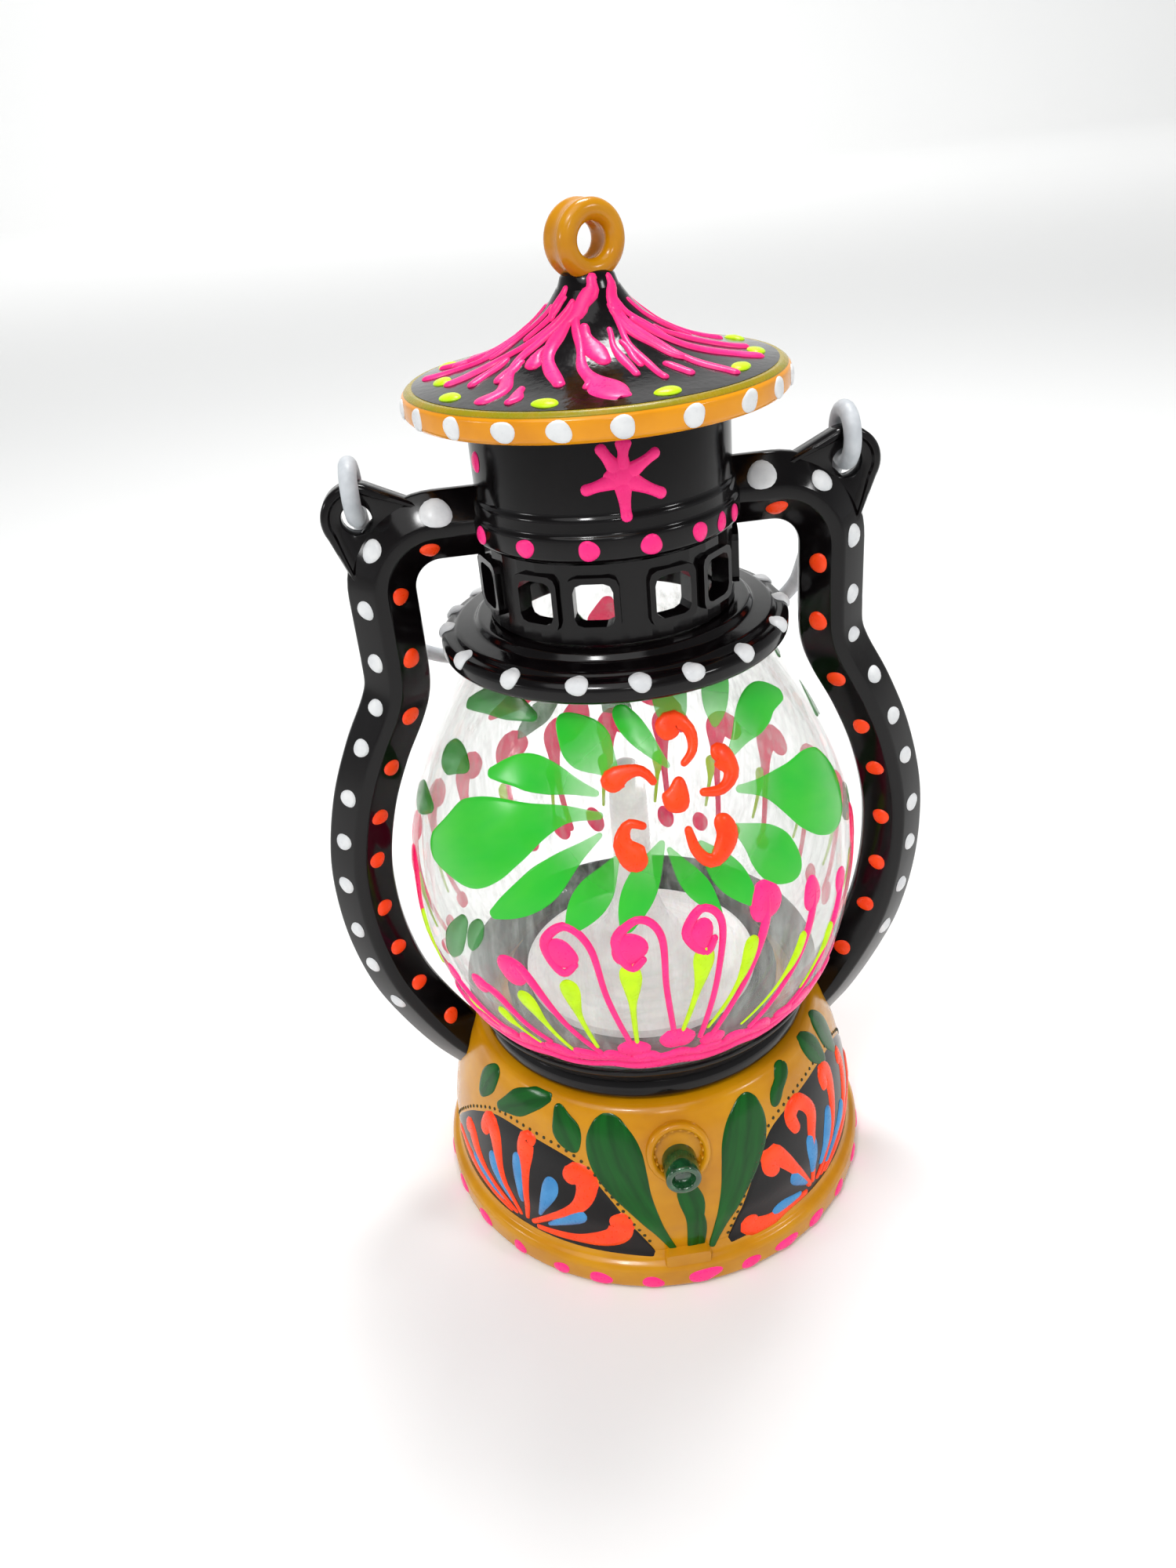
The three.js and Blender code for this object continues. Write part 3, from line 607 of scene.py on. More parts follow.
panels = [
    {"angles": [-90, -86, -81, -75, -68, -57, -42, -28, -20, -13, -7.5],
     "upper": [5.0, 8.0, 11.5, 14.8, 17.8, 20.6, 20.9, 19.4, 15.6, 10.2, 5.2]},
    {"angles": [10.5, 15, 20, 27, 37, 47, 57, 70, 82, 90, 96],
     "upper": [5.2, 10.5, 15.2, 19.9, 21.6, 22.2, 22.0, 20.2, 16, 10, 5.0]},
    {"angles": [100, 110, 122, 140, 155, 168], "upper": [5.0, 14, 20.5, 20.8, 15, 5.2]},
    {"angles": [-168, -155, -140, -124, -112, -104], "upper": [5.2, 15, 20.8, 20.5, 14, 5.0]},
]
pips = {"pitch": 1.25, "above": 0.75, "wide": 0.5, "lowest": 6}
panelParts, pipParts = [], []
for panel in panels:
    angles, upper = np.array(panel["angles"], float), np.array(panel["upper"], float)
    edge = smoothLine(np.stack([angles, upper], -1), 8)
    fine = np.linspace(angles[0], angles[-1], 160)
    top = np.maximum(np.interp(fine, edge[:, 0], edge[:, 1]), 5.0)
    panelParts.append(field(domeFace, fine, np.full(160, 4.95), top, 0.14))
    run = np.concatenate([[0], np.cumsum(np.hypot(np.diff(edge[:, 0]) * 0.5, np.diff(edge[:, 1])))])
    for s in np.arange(1.0, run[-1], pips["pitch"]):
        a, z = np.interp(s, run, edge[:, 0]), np.interp(s, run, edge[:, 1])
        if z > pips["lowest"]:
            pipParts.append(drop(domeFace, a, z + pips["above"], pips["wide"], pips["wide"], 0.15, 0, around=8))
makePiece("basePanels", panelParts, blackLacquer)
makePiece("panelPips", pipParts, pipPaint)

orangeFans = [
    ([(-62.5, 16.2), (-60, 18.8), (-56.5, 17.5), (-53, 12.5), (-46.5, 6.4)], [2.0, 3.2, 2.4, 1.5, 1.1, 0.8]),
    ([(-42.0, 19.6), (-44.5, 20.2), (-44.5, 16.5), (-43.8, 11), (-44.6, 6.4)], [2.2, 3.2, 2.0, 1.3, 1.1, 0.8]),
    ([(-30.5, 16.2), (-29.0, 18.0), (-25.4, 16.8), (-27.5, 13.2), (-35.5, 9.6), (-43, 6.3)],
     [2.2, 3.6, 3.0, 2.0, 1.4, 1.1, 0.9]),
    ([(-19, 12.4), (-16.6, 11.0), (-18.4, 8.6), (-27, 7.0), (-41.5, 6.0)], [3.0, 3.8, 3.0, 1.7, 1.3, 0.9]),
    ([(-72, 13.0), (-69.5, 14.6), (-65, 12.2), (-58, 9.2), (-48, 6.2)], [2.0, 3.0, 2.2, 1.4, 1.1, 0.8]),
    ([(-80, 8.8), (-77, 10.0), (-69, 8.0), (-50, 6.0)], [2.0, 2.8, 1.8, 1.1, 0.8]),
    ([(19.5, 8.4), (17.2, 6.9), (22, 5.9), (30, 6.2), (38, 6.0)], [2.6, 3.4, 2.4, 1.6, 1.0]),
    ([(27.6, 13.6), (25.0, 15.2), (26.4, 17.0), (31, 14.0), (36, 9.6), (39.4, 6.4)], [1.8, 3.0, 2.6, 1.8, 1.4, 1.0]),
    ([(36.8, 17.2), (35.4, 20.0), (39.6, 21.0), (43.4, 18.4), (41.4, 14.5), (40.4, 6.5)],
     [1.6, 2.6, 2.4, 2.4, 1.5, 1.2, 0.9]),
    ([(53.0, 18.2), (53.6, 20.6), (56.6, 19.6), (54, 14.6), (48, 9.6), (42, 6.3)], [1.8, 3.0, 2.4, 1.6, 1.3, 0.9]),
    ([(66.0, 17.2), (68.0, 18.6), (68, 15.6), (60, 10.8), (44, 6.2)], [1.8, 2.8, 2.0, 1.3, 0.9]),
    ([(80, 11.6), (79, 12.6), (70, 9.4), (46, 6.0)], [2.2, 2.8, 1.8, 0.9]),
]
blueFans = [
    ([(-47.5, 17.6), (-46.4, 15), (-45.6, 9.4)], [1.6, 2.6, 2.2, 1.2, 0.6]),
    ([(-35.6, 16.4), (-36.2, 14), (-40, 8.6)], [1.8, 2.8, 2.2, 1.2, 0.6]),
    ([(-25.5, 11.8), (-29, 10.9), (-37.5, 7.4)], [2.2, 2.8, 2.2, 1.2, 0.6]),
    ([(-57.5, 14.8), (-55.5, 12.4), (-49.5, 8.0)], [1.6, 2.6, 2.0, 1.1, 0.6]),
    ([(-67.5, 10.6), (-64, 9.4), (-53, 7.0)], [1.6, 2.4, 1.8, 1.0, 0.6]),
    ([(24.5, 6.6), (27.5, 7.0), (35.5, 6.8)], [1.6, 2.4, 1.6, 0.7]),
    ([(31.8, 12.0), (33.6, 10.6), (37.8, 7.6)], [1.8, 2.8, 2.0, 0.8]),
    ([(40.4, 15.6), (40.8, 13.0), (40.4, 8.6)], [1.6, 2.6, 2.0, 1.0]),
    ([(51.4, 16.2), (49.6, 13.4), (44, 8.4)], [1.6, 2.6, 2.0, 1.0]),
    ([(61, 13.2), (57.5, 11.2), (47, 7.4)], [1.6, 2.4, 1.8, 0.9]),
]
backFans = {"centres": (134, -136), "orange": ((-26, 7.5), (-15, 14), (0, 18.5), (15, 14), (26, 7.5)),
            "blue": ((-19, 9.5), (-7.5, 14.5), (7.5, 14.5), (19, 9.5)), "hook": 2.2}
for c in backFans["centres"]:
    for reach, tall in backFans["orange"]:
        hook = backFans["hook"] if reach >= 0 else -backFans["hook"]
        line = [(c + reach * 0.95 - hook, tall * 0.93), (c + reach, tall), (c + reach * 0.6, tall * 0.66), (c, 6.3)]
        orangeFans.append((line, [2.0, 3.0, 1.8, 1.1, 0.8]))
    for reach, tall in backFans["blue"]:
        line = [(c + reach, tall), (c + reach * 0.8, tall * 0.85), (c + reach * 0.3, 7.4)]
        blueFans.append((line, [1.6, 2.5, 1.6, 0.7]))
makePiece("panelFansOrange", [stroke(domeFace, line, width, 0.4) for line, width in orangeFans], orangePaint)
makePiece("panelFansBlue", [stroke(domeFace, line, width, 0.42) for line, width in blueFans], bluePaint)
lipSpots = [
    -88, -74, -60, -46, -33, -22.5, -9.3, 16, 27, 38, 50, 63, 76, 90, 104, 118, 132, 146, 160, 174,
    -174, -160, -146, -132, -118, -103,
]
lipDots = [drop(lipFace, a, 1.5, 3.2 + 0.8 * math.sin(a), 2.2, 0.28, 0.08) for a in lipSpots]
lipDots.append(drop(lipFace, 3.7, 1.9, 4.6, 2.6, 0.28, 0.12))
flatDots = []
for points, faces, pattern in lipDots:  # none stands out past the lip's full width
    shrink = np.minimum(1, 31.98 / np.hypot(points[:, 0], points[:, 1]))[:, None]
    flatDots.append((np.concatenate([points[:, :2] * shrink, points[:, 2:]], 1), faces, pattern))
makePiece("lipDots", flatDots, pinkPaint)
print("base built")


seatProfile = roundCorners([
    (22.4, 27.6), (23.3, 27.6), (23.8, 28.4), (23.8, 29.7), (23.3, 30.5), (22.75, 31), (22.4, 30.5),
], 0.3, 4)
makePiece("seatRing", [revolve(seatProfile, 160, True)], blackLacquer, replaces=["seat_ring"])

# Cup: a thin black collar that hugs the globe's foot above the seat, put there as painted shade that darkens the foot
# seen through the globe.
footShadeProfile = roundCorners([
    (22.5, 30.8), (23.4, 30.5), (23.95, 31.3), (24.6, 32.4), (25.3, 33.4), (25.25, 33.9), (24.75, 33.9), (23.35, 32.1),
], 0.15, 3)
makePiece("globeFootShade", [revolve(footShadeProfile, 160, True)], blackLacquer)

globeLine = [
    (22, 28.6), (22.1, 30.4), (23.2, 32.2), (24.7, 34), (26.5, 36.8), (28.5, 42), (29.6, 48), (29.75, 54),
    (29.1, 60.5), (27.4, 66.4), (24.7, 72.4), (21.4, 78), (18.8, 82.4), (18.3, 84), (18.3, 85.6),
]
globeFace = paintable(globeLine)
globeOuter = smoothLine(globeLine, 8)
globeInner = np.stack([globeOuter[:, 0] - 1.2, globeOuter[:, 1]], -1)[::-1]
makePiece(
    "globeShell", [revolve(np.concatenate([globeOuter, globeInner]), 192, True)], clearShell,
    replaces=["globe"],
)

trumpet = {
    "line": [(0.6, 65.8), (1.7, 65.2), (2.3, 63.8), (2.55, 60), (2.75, 48), (3.6, 42.5), (5.4, 38.6), (8.6, 36.1),
             (12.4, 34.4), (16.6, 33.4)],
    "ripple": 0.18, "pitch": 1.7,
}
trumpetLine = smoothLine(trumpet["line"], 14)
rippled = trumpetLine[:, 1] + np.where(
    trumpetLine[:, 0] > 4, trumpet["ripple"] * np.sin(turn * trumpetLine[:, 0] / trumpet["pitch"]), 0
)
trumpetProfile = np.concatenate([
    [(0, 66)], np.stack([trumpetLine[:, 0], rippled], -1), [(16.6, 32.0), (2.3, 32.0), (2.2, 36.6), (0, 38.4)],
])
makePiece("diffuserTrumpet", [revolve(trumpetProfile, 128)], frosted, replaces=["diffuser"])

# Petals and leaf marks of the globe: ([(angle, height)...], [width...]) from the root outwards.
petals = [
    ([(-13, 72.4), (-25, 72.2), (-40, 69.4), (-54, 66.0), (-68, 63.4)], [0.9, 2.2, 5.0, 9.0, 12.0, 12.4, 8.0, 3.0]),
    ([(-14, 74.5), (-26, 75.6), (-38, 76), (-50, 74.8)], [0.8, 2.4, 4.6, 5.4, 3.8, 1.2]),
    ([(-8.5, 76.2), (-14, 78), (-21, 80.2), (-28, 82)], [0.8, 3.6, 6.4, 6.6, 4.6, 1.6]),
    ([(6.5, 76.4), (0, 79.4), (-8, 83)], [0.6, 2.0, 3.2, 3.4, 2.0]),
    ([(10.5, 80), (11.2, 82.4), (12, 85.2)], [1.6, 4.2, 5.0, 5.4, 5.0]),
    ([(24, 79), (28, 81.6), (33.5, 85)], [0.7, 3.4, 4.6, 4.8, 3.4]),
    ([(25, 75.8), (36, 78), (48, 79.2), (60, 78)], [0.8, 2.8, 5.6, 6.2, 4.2, 1.4]),
    ([(24, 72.6), (35, 71.2), (47, 68.4), (58, 66), (67, 65)], [0.9, 2.6, 6.4, 10.6, 12.6, 11.6, 5.0]),
    ([(20, 69.2), (26, 66.6), (31.5, 63.2), (36.5, 60.4)], [0.8, 3.6, 6.6, 7.8, 6.4, 2.4]),
    ([(10.4, 68.6), (14.4, 65.6), (18.6, 62.4), (22, 59.6)], [0.8, 3.2, 5.0, 5.2, 3.8, 1.4]),
    ([(2.6, 68.6), (6, 65.6), (10, 62.4), (13, 59.6)], [0.7, 2.4, 4.0, 4.2, 2.8, 1.0]),
    ([(1.6, 69.4), (-3.2, 66), (-6.8, 62.6), (-9.2, 59.4)], [0.8, 3.0, 4.8, 5.2, 4.0, 1.6]),
    ([(-9.8, 68.2), (-14, 65.2), (-18.4, 62.2), (-22, 59.4)], [0.8, 3.2, 5.4, 5.8, 4.4, 1.6]),
    ([(-13.5, 70.6), (-22, 67.6), (-32, 63.0), (-42.5, 59.2)], [0.8, 2.6, 5.0, 6.8, 6.4, 4.6, 1.4]),
]
petalSlim = [  # how much slimmer each petal is than its full width
    0.86, 0.82, 0.86, 0.8, 0.8, 0.8, 0.82, 0.86, 0.8, 0.72, 0.68, 0.74, 0.72, 0.66,
]
petalParts = [
    stroke(globeFace, line, [slim * w for w in width], 0.16, 0.35, 26) for (line, width), slim in zip(petals, petalSlim)
]
marks = [
    ([(-36, 81.4), (-48, 82), (-60, 81.6), (-73, 79.8)], [1.0, 3.6, 3.2, 1.2]),
    ([(-58, 74.2), (-66, 74.4), (-75, 73.4)], [1.0, 3.6, 4.6, 2.2]),
    ([(-70, 67.6), (-78, 67), (-88, 66)], [1.0, 3.4, 4.4, 2.0]),
    ([(-51, 57.4), (-55, 54), (-61, 49)], [1.2, 3.0, 3.6, 1.4]),
    ([(-45.5, 58), (-48, 55.6), (-50.5, 52.6)], [1.0, 2.4, 2.2, 0.8]),
    ([(76, 72), (84, 72.6), (94, 71)], [1.0, 4.0, 5.4, 2.4]),
    ([(78, 80), (88, 80.6), (98, 79)], [1.0, 3.4, 4.0, 1.8]),
    ([(74, 61), (82, 58), (90, 53)], [1.0, 3.6, 5.0, 2.2]),
]
makePiece("globePetals", petalParts, petalPaint)
makePiece("globeLeafMarks", [stroke(globeFace, line, width, 0.16, 0.35, 20) for line, width in marks], markPaint)

curls = [
    ([(8.8, 75.4), (7.2, 73.6), (4.2, 72.2)], [1.0, 2.2, 3.4, 2.6]),
    ([(6, 79.2), (10.5, 80.8), (15.2, 79.6), (14.6, 77.6), (10.2, 76.3)], [2.6, 3.0, 1.8, 1.4, 1.1, 0.8]),
    ([(19.8, 76.6), (22.6, 76.4), (24.4, 74.4), (20, 73.1), (13.4, 73.4)], [2.2, 3.0, 2.2, 1.5, 1.2, 0.9]),
    ([(17, 70.8), (18.2, 68.4), (13.4, 66.2), (9.6, 67.6), (8.2, 70.4)], [1.8, 2.8, 2.4, 1.6, 1.3, 0.9]),
    ([(-2.6, 67.2), (-5.4, 67.8), (-8.4, 69.6), (-6.6, 71.4), (-2.0, 71.0)], [2.4, 3.4, 2.6, 1.6, 1.1, 0.9]),
    ([(-10.6, 74.6), (-9.4, 76), (-3.8, 76.6), (-0.6, 76.2), (1.8, 75)], [2.2, 3.0, 2.0, 1.4, 1.1, 0.9]),
]
makePiece("globeCurls", [stroke(globeFace, line, width, 0.5) for line, width in curls], orangePaint)

# Croziers: the round head's (angle, height, width, height across), then the thin stem that curls out of it
# and runs down.
croziers = [
    ((-49.5, 47.4, 3.2, 2.6), [(-49.5, 47.4), (-47, 47.6), (-43, 46.6), (-37, 43), (-31, 40.4)]),
    ((-37.5, 52.2, 4.4, 4.2), [(-38, 52.4), (-35.6, 53.2), (-31.5, 50.4), (-25, 44.6), (-18, 39.6)]),
    ((-24.4, 56.2, 4.4, 3.8),
     [(-20.6, 55.2), (-24.4, 53.6), (-28.2, 57.4), (-23, 60), (-17.4, 57.4), (-14.4, 50), (-9.6, 40.8)]),
    ((-8.6, 57.2, 4.2, 4.4), [(-5, 56), (-8.6, 54.6), (-11.4, 58.4), (-6, 61), (-1.2, 58.6), (-0.8, 51), (0.8, 41.8)]),
    ((7.6, 57.8, 3.4, 4.4), [(11.4, 57.4), (8.6, 55.4), (4.6, 58.4), (8.6, 61.2), (13, 59), (11.4, 52), (7, 41.4)]),
    ((24.8, 59.4, 4.4, 5.8), [(25.4, 60.4), (24.2, 56.6), (19, 50.4), (13.4, 44.8), (9, 40.2)]),
    ((40.0, 56.6, 3.6, 4.6), [(40.8, 57.4), (39.2, 53.8), (34, 48.4), (27.4, 43.8), (21, 39.9)]),
    ((54.4, 54.2, 3.0, 4.0), [(54.8, 54.8), (52.4, 51.6), (46, 46), (39, 41.6), (33, 39.0)]),
    ((-62.5, 45.2, 3.2, 2.4), [(-62.5, 45.2), (-58, 43.6), (-51.6, 41.2), (-45, 39.2)]),
]
feet = []
for a in range(-66, 70, 8):
    line = [(a, 38.6 + 0.9 * math.sin(a * 0.9)), (a + 4, 39.2), (a + 7.5, 38.3 + 0.8 * math.cos(a))]
    feet.append((line, [1.6, 2.2 + 0.6 * math.sin(a), 1.8, 1.2]))
feet.append(([(-13, 39.6), (-9.4, 41.0), (-6, 39.8)], [2.0, 3.4, 2.0]))
feet.append(([(-1.5, 40.6), (1.5, 42.4), (4, 40.6)], [2.6, 4.0, 2.4]))
feet.append(([(8, 39.6), (10.6, 40.8), (13, 39.6)], [1.6, 2.8, 1.8]))
# The wet smear that the feet stand in, in two runs one above the other.
smear = [(a, 38.5 + 0.4 * math.sin(a * 0.7)) for a in range(-76, 80, 6)]
feet.append((smear, [0.8, 1.7, 1.2, 2.0, 1.4, 1.9, 1.1, 1.6, 0.8]))
feet.append(([(a, z - 1.9) for a, z in smear], [0.8, 1.4, 1.8, 1.2, 2.2, 1.5, 2.0, 1.2, 0.8]))
backCroziers = [
    ([(a, 54.6), (a + 3, 57.4), (a + 6.4, 55.6), (a + 6.6, 48), (a + 5, 39.2)], [3.4, 4.0, 2.0, 1.1, 0.9, 0.9])
    for a in range(70, 290, 17)
]
backFeet = [([(a, 38.2), (a + 3, 41.2 + math.sin(a))], [1.5, 2.6, 1.3]) for a in range(76, 280, 12)]
pinkParts = [stroke(globeFace, line, [0.9, 1.3, 1.0, 0.8, 0.75, 0.7], 0.45) for head, line in croziers]
pinkParts += [drop(globeFace, *head, 0.4, 0.08) for head, line in croziers]
pinkParts += [stroke(globeFace, line, width, 0.4) for line, width in feet]
farParts = [stroke(globeFace, line, width, 0.4) for line, width in backCroziers + backFeet]
# Far croziers and feet in crimson: the pink darkened as painted shade.
makePiece("farCroziers", farParts, shadedPinkPaint)
makePiece("globeCroziers", pinkParts, pinkPaint)

# Drops between the croziers: the line from the head down, and the head's width.
neonDrops = [
    ([(-45, 44.4), (-41.5, 42.4), (-34, 38.8)], 2.0),
    ([(-36.4, 49.2), (-33.4, 46.8), (-29.6, 43), (-25.6, 39.4)], 3.0),
    ([(-23.6, 52.6), (-22.6, 49.8), (-21.2, 46), (-18.6, 40.8)], 3.2),
    ([(-9, 55.2), (-8.6, 52.2), (-8.8, 48), (-8.6, 41.6)], 3.4),
    ([(8.6, 56.2), (7.6, 52.8), (5.4, 48.6), (2.4, 43.2)], 3.4),
    ([(20.8, 55.6), (19.2, 52.6), (14.4, 47.6), (8.8, 43)], 2.8),
    ([(36.4, 52.2), (34, 49.6), (27, 45.4), (18.2, 41.4)], 2.0),
    ([(49, 49.6), (46, 46.8), (38, 42)], 2.2),
    ([(-58, 42.6), (-54, 41), (-48, 38.8)], 2.0),
]
backNeon = [([(a, 51), (a + 0.6, 48), (a + 2, 42)], 2.8) for a in range(78, 290, 17)]
tearShape = np.array([0.62, 0.78, 0.56, 0.3, 0.22, 0.2, 0.18, 0.16])  # a round head that runs out into a thin tail
dropParts = [stroke(globeFace, line, tearShape * head, 0.42) for line, head in neonDrops + backNeon]
makePiece("globeDrops", dropParts, neonPaint)

# The far side of the globe: a second flower, its petals in the crimson that stands for the pink in painted shade, seen
# through the shell.
farFlower = {"angle": 183, "height": 68, "inner": 6.5, "outer": 17.5, "petals": 12, "curls": 5, "radius": 27}
farPetals, farGreens, farCurls = [], [], []
for i in range(farFlower["petals"]):
    a = turn * i / farFlower["petals"] + 0.2
    line = []
    for reach in (farFlower["inner"], (farFlower["inner"] + farFlower["outer"]) / 2, farFlower["outer"]):
        beside = math.degrees(reach * math.cos(a) / farFlower["radius"])
        line.append((farFlower["angle"] + beside, farFlower["height"] + reach * math.sin(a) * 0.8))
    (farPetals if i % 2 else farGreens).append((line, [0.9, 3.2, 4.6, 3.2, 1.2]))
for b in np.arange(farFlower["curls"]) * turn / farFlower["curls"]:
    start = (farFlower["angle"] + 7 * math.cos(b), farFlower["height"] + 3.4 * math.sin(b))
    end = (farFlower["angle"] + 10 * math.cos(b + 0.5), farFlower["height"] + 4.6 * math.sin(b + 0.5))
    farCurls.append(([start, end], [2.4, 3.0, 1.6]))
for name, lines, paint in (
    ("farPetalsShadedPink", farPetals + farCurls, shadedPinkPaint), ("farPetalsGreen", farGreens, markPaint),
):
    makePiece(name, [stroke(globeFace, line, width, 0.16, 0.4, 16) for line, width in lines], paint)
print("globe built")


flangeProfile = roundCorners([
    (13.2, 88.6), (16.6, 88.6), (17.2, 87.8), (19.4, 87.6), (20, 87.1), (20.9, 86.95), (21.5, 86.3), (21.5, 84.9),
    (21, 84.4), (19.4, 84.4), (18.9, 86), (13.2, 86),
], 0.3, 3)
makePiece("chimneyFlange", [revolve(flangeProfile, 160, True)], blackLacquer, replaces=["flange"])
flangeLine = [(19.4, 87.6), (20, 87.1), (20.9, 86.95), (21.4, 86.5), (21.5, 86.1), (21.5, 84.9)]
flangeFace = paintable(flangeLine, by="run", sharp=True)
flangeDots = [-94, -66, -41.7, -18.9, 0.2, 17.1, 37.4, 62, 84, 104, 125, 146, 167, -172, -150, -128, -110]
makePiece("flangeDots", [drop(flangeFace, a, 1.75, 2.5, 2.9, 0.5, 0.05) for a in flangeDots], whitePaint)

drumProfile = roundCorners([
    (13.2, 98.6), (15.4, 98.6), (15.9, 99.1), (15.9, 101.4), (15.5, 101.8), (15.5, 103.3), (15.1, 103.8),
    (15.1, 114), (13.2, 114),
], 0.25, 3)
makePiece("chimneyDrum", [revolve(drumProfile, 160, True)], blackLacquer, replaces=["drum"])
for glossy in ("window_collar", "burner_plate"):
    for slot in frame["nodes"][glossy].material_slots:
        slot.material = blackLacquer
drumLine = [(15.9, 99.0), (15.9, 101.5), (15.5, 101.8), (15.5, 103.3), (15.1, 103.8), (15.1, 113.5)]
drumFace = paintable(drumLine, sharp=True)
bandSpots = [(-70, 2.4), (-41, 2.4), (-13.8, 2.5), (10.9, 2.6), (33.5, 2.2), (47.4, 1.6), (60, 1.6)]
bandSpots += [(a, 2.4) for a in (84, 108, 132, 156, 180, -156, -132, -112, -92)]
bandDots = [drop(drumFace, a, 100.2, w, 2.2, 0.35, 0.06) for a, w in bandSpots]
# Six-armed stars: each arm runs out from the middle and swells at its tip; the front one's top arm is a broad smear.
starArms = [(-15.5, 106.4), (-7.5, 111.2), (3.0, 111.6), (17.5, 109.9), (19.5, 105.0), (2.2, 102.9)]
starMiddle = (1.5, 107.6)


# A star's arm: from the middle, past a point at the share bend of the way, to the tip.
def starArm(centre, reachAngle, tipHeight, bend, widths):
    middleHeight = starMiddle[1]
    near = (centre + reachAngle * bend, middleHeight + (tipHeight - middleHeight) * bend)
    return stroke(drumFace, [(centre, middleHeight), near, (centre + reachAngle, tipHeight)], widths, 0.35)


star, backStars = [], []
for a, z in starArms:
    star.append(starArm(starMiddle[0], a - starMiddle[0], z, 0.55, [2.6, 1.7, 1.2, 1.4 if z < 111.5 else 3.6]))
star.append(drop(drumFace, 1.0, 107.7, 3.4, 3.0, 0.38, 0.1))
for c in (-119, 121):
    backStars += [starArm(c, a - starMiddle[0], z, 0.5, [2.4, 1.6, 1.5, 1.7]) for a, z in starArms]
star.append(drop(drumFace, -74, 108.2, 2.2, 2.4, 0.35, 0.06))
makePiece("drumStars", bandDots + star + backStars, pinkPaint)


roofLine = [(20.5, 116.1), (16, 116.9), (12.2, 118), (9.2, 119.4), (6.8, 121), (5, 122.6), (3.9, 124), (3.5, 124.6)]
roofFace = paintable(roofLine, by="radius")
neckFace = paintable(roofLine[:-1] + [(3.45, 124.7), (3.2, 125.1), (3.0, 125.7), (2.6, 126.2)], by="radius")
roofTop = smoothLine(roofLine, 10)[::-1]
roofUnder = [
    (20.5, 114.6), (20.0, 114.4), (15.4, 114.4), (12.4, 115.4), (9, 117.2), (6, 119.2), (3.4, 121.6), (0, 122.2),
]
roofProfile = np.concatenate([[(0, 124.6)], roofTop, roofUnder])
makePiece("roofCone", [revolve(roofProfile, 160)], roofLacquer, replaces=["roof"])
rimProfile = roundCorners([
    (20.5, 116), (20.9, 116), (21.75, 115.35), (21.8, 115.0), (21.8, 113.4), (21.3, 112.9), (20.5, 112.9),
], 0.25, 3)
makePiece("rimBand", [revolve(rimProfile, 192, True)], rimEnamel, replaces=["rim_band"])
rimLine = [(20.6, 116.0), (20.95, 115.98), (21.7, 115.4), (21.8, 115.0), (21.8, 113.4), (21.5, 113.0)]
rimFace = paintable(rimLine, by="run", sharp=True)
# The rim's upper bevel in olive: painted shade on the mustard.
edgeProfile = roundCorners([(20.4, 116.05), (20.95, 116.05), (21.5, 115.66), (21.4, 115.4), (20.4, 115.7)], 0.1, 2)
makePiece("rimTopPaintedShade", [revolve(edgeProfile, 160, True)], oliveRimShade)
rimDots = [drop(rimFace, a, 2.4, 2.6, 2.3, 0.3, 0.07) for a in (
    -67, -49.4, -32, -16.5, 0, 19.5, 38.8, 54.8, 72, 88, 105, 122, 139, 156, 173, -170, -153, -136, -119, -102, -84,
)]
makePiece("rimDots", rimDots, whitePaint)
neonOvals = [
    (-83, 17.1), (-60, 18.8), (-22, 18.8), (16, 18.8), (52.6, 17.9), (80, 18), (110, 18.6), (140, 18),
    (172, 18.6), (-155, 18), (-118, 18.4),
]
makePiece("roofOvals", [drop(roofFace, a, r, 3.0, 2.0, 0.4, 0.05) for a, r in neonOvals], neonPaint)

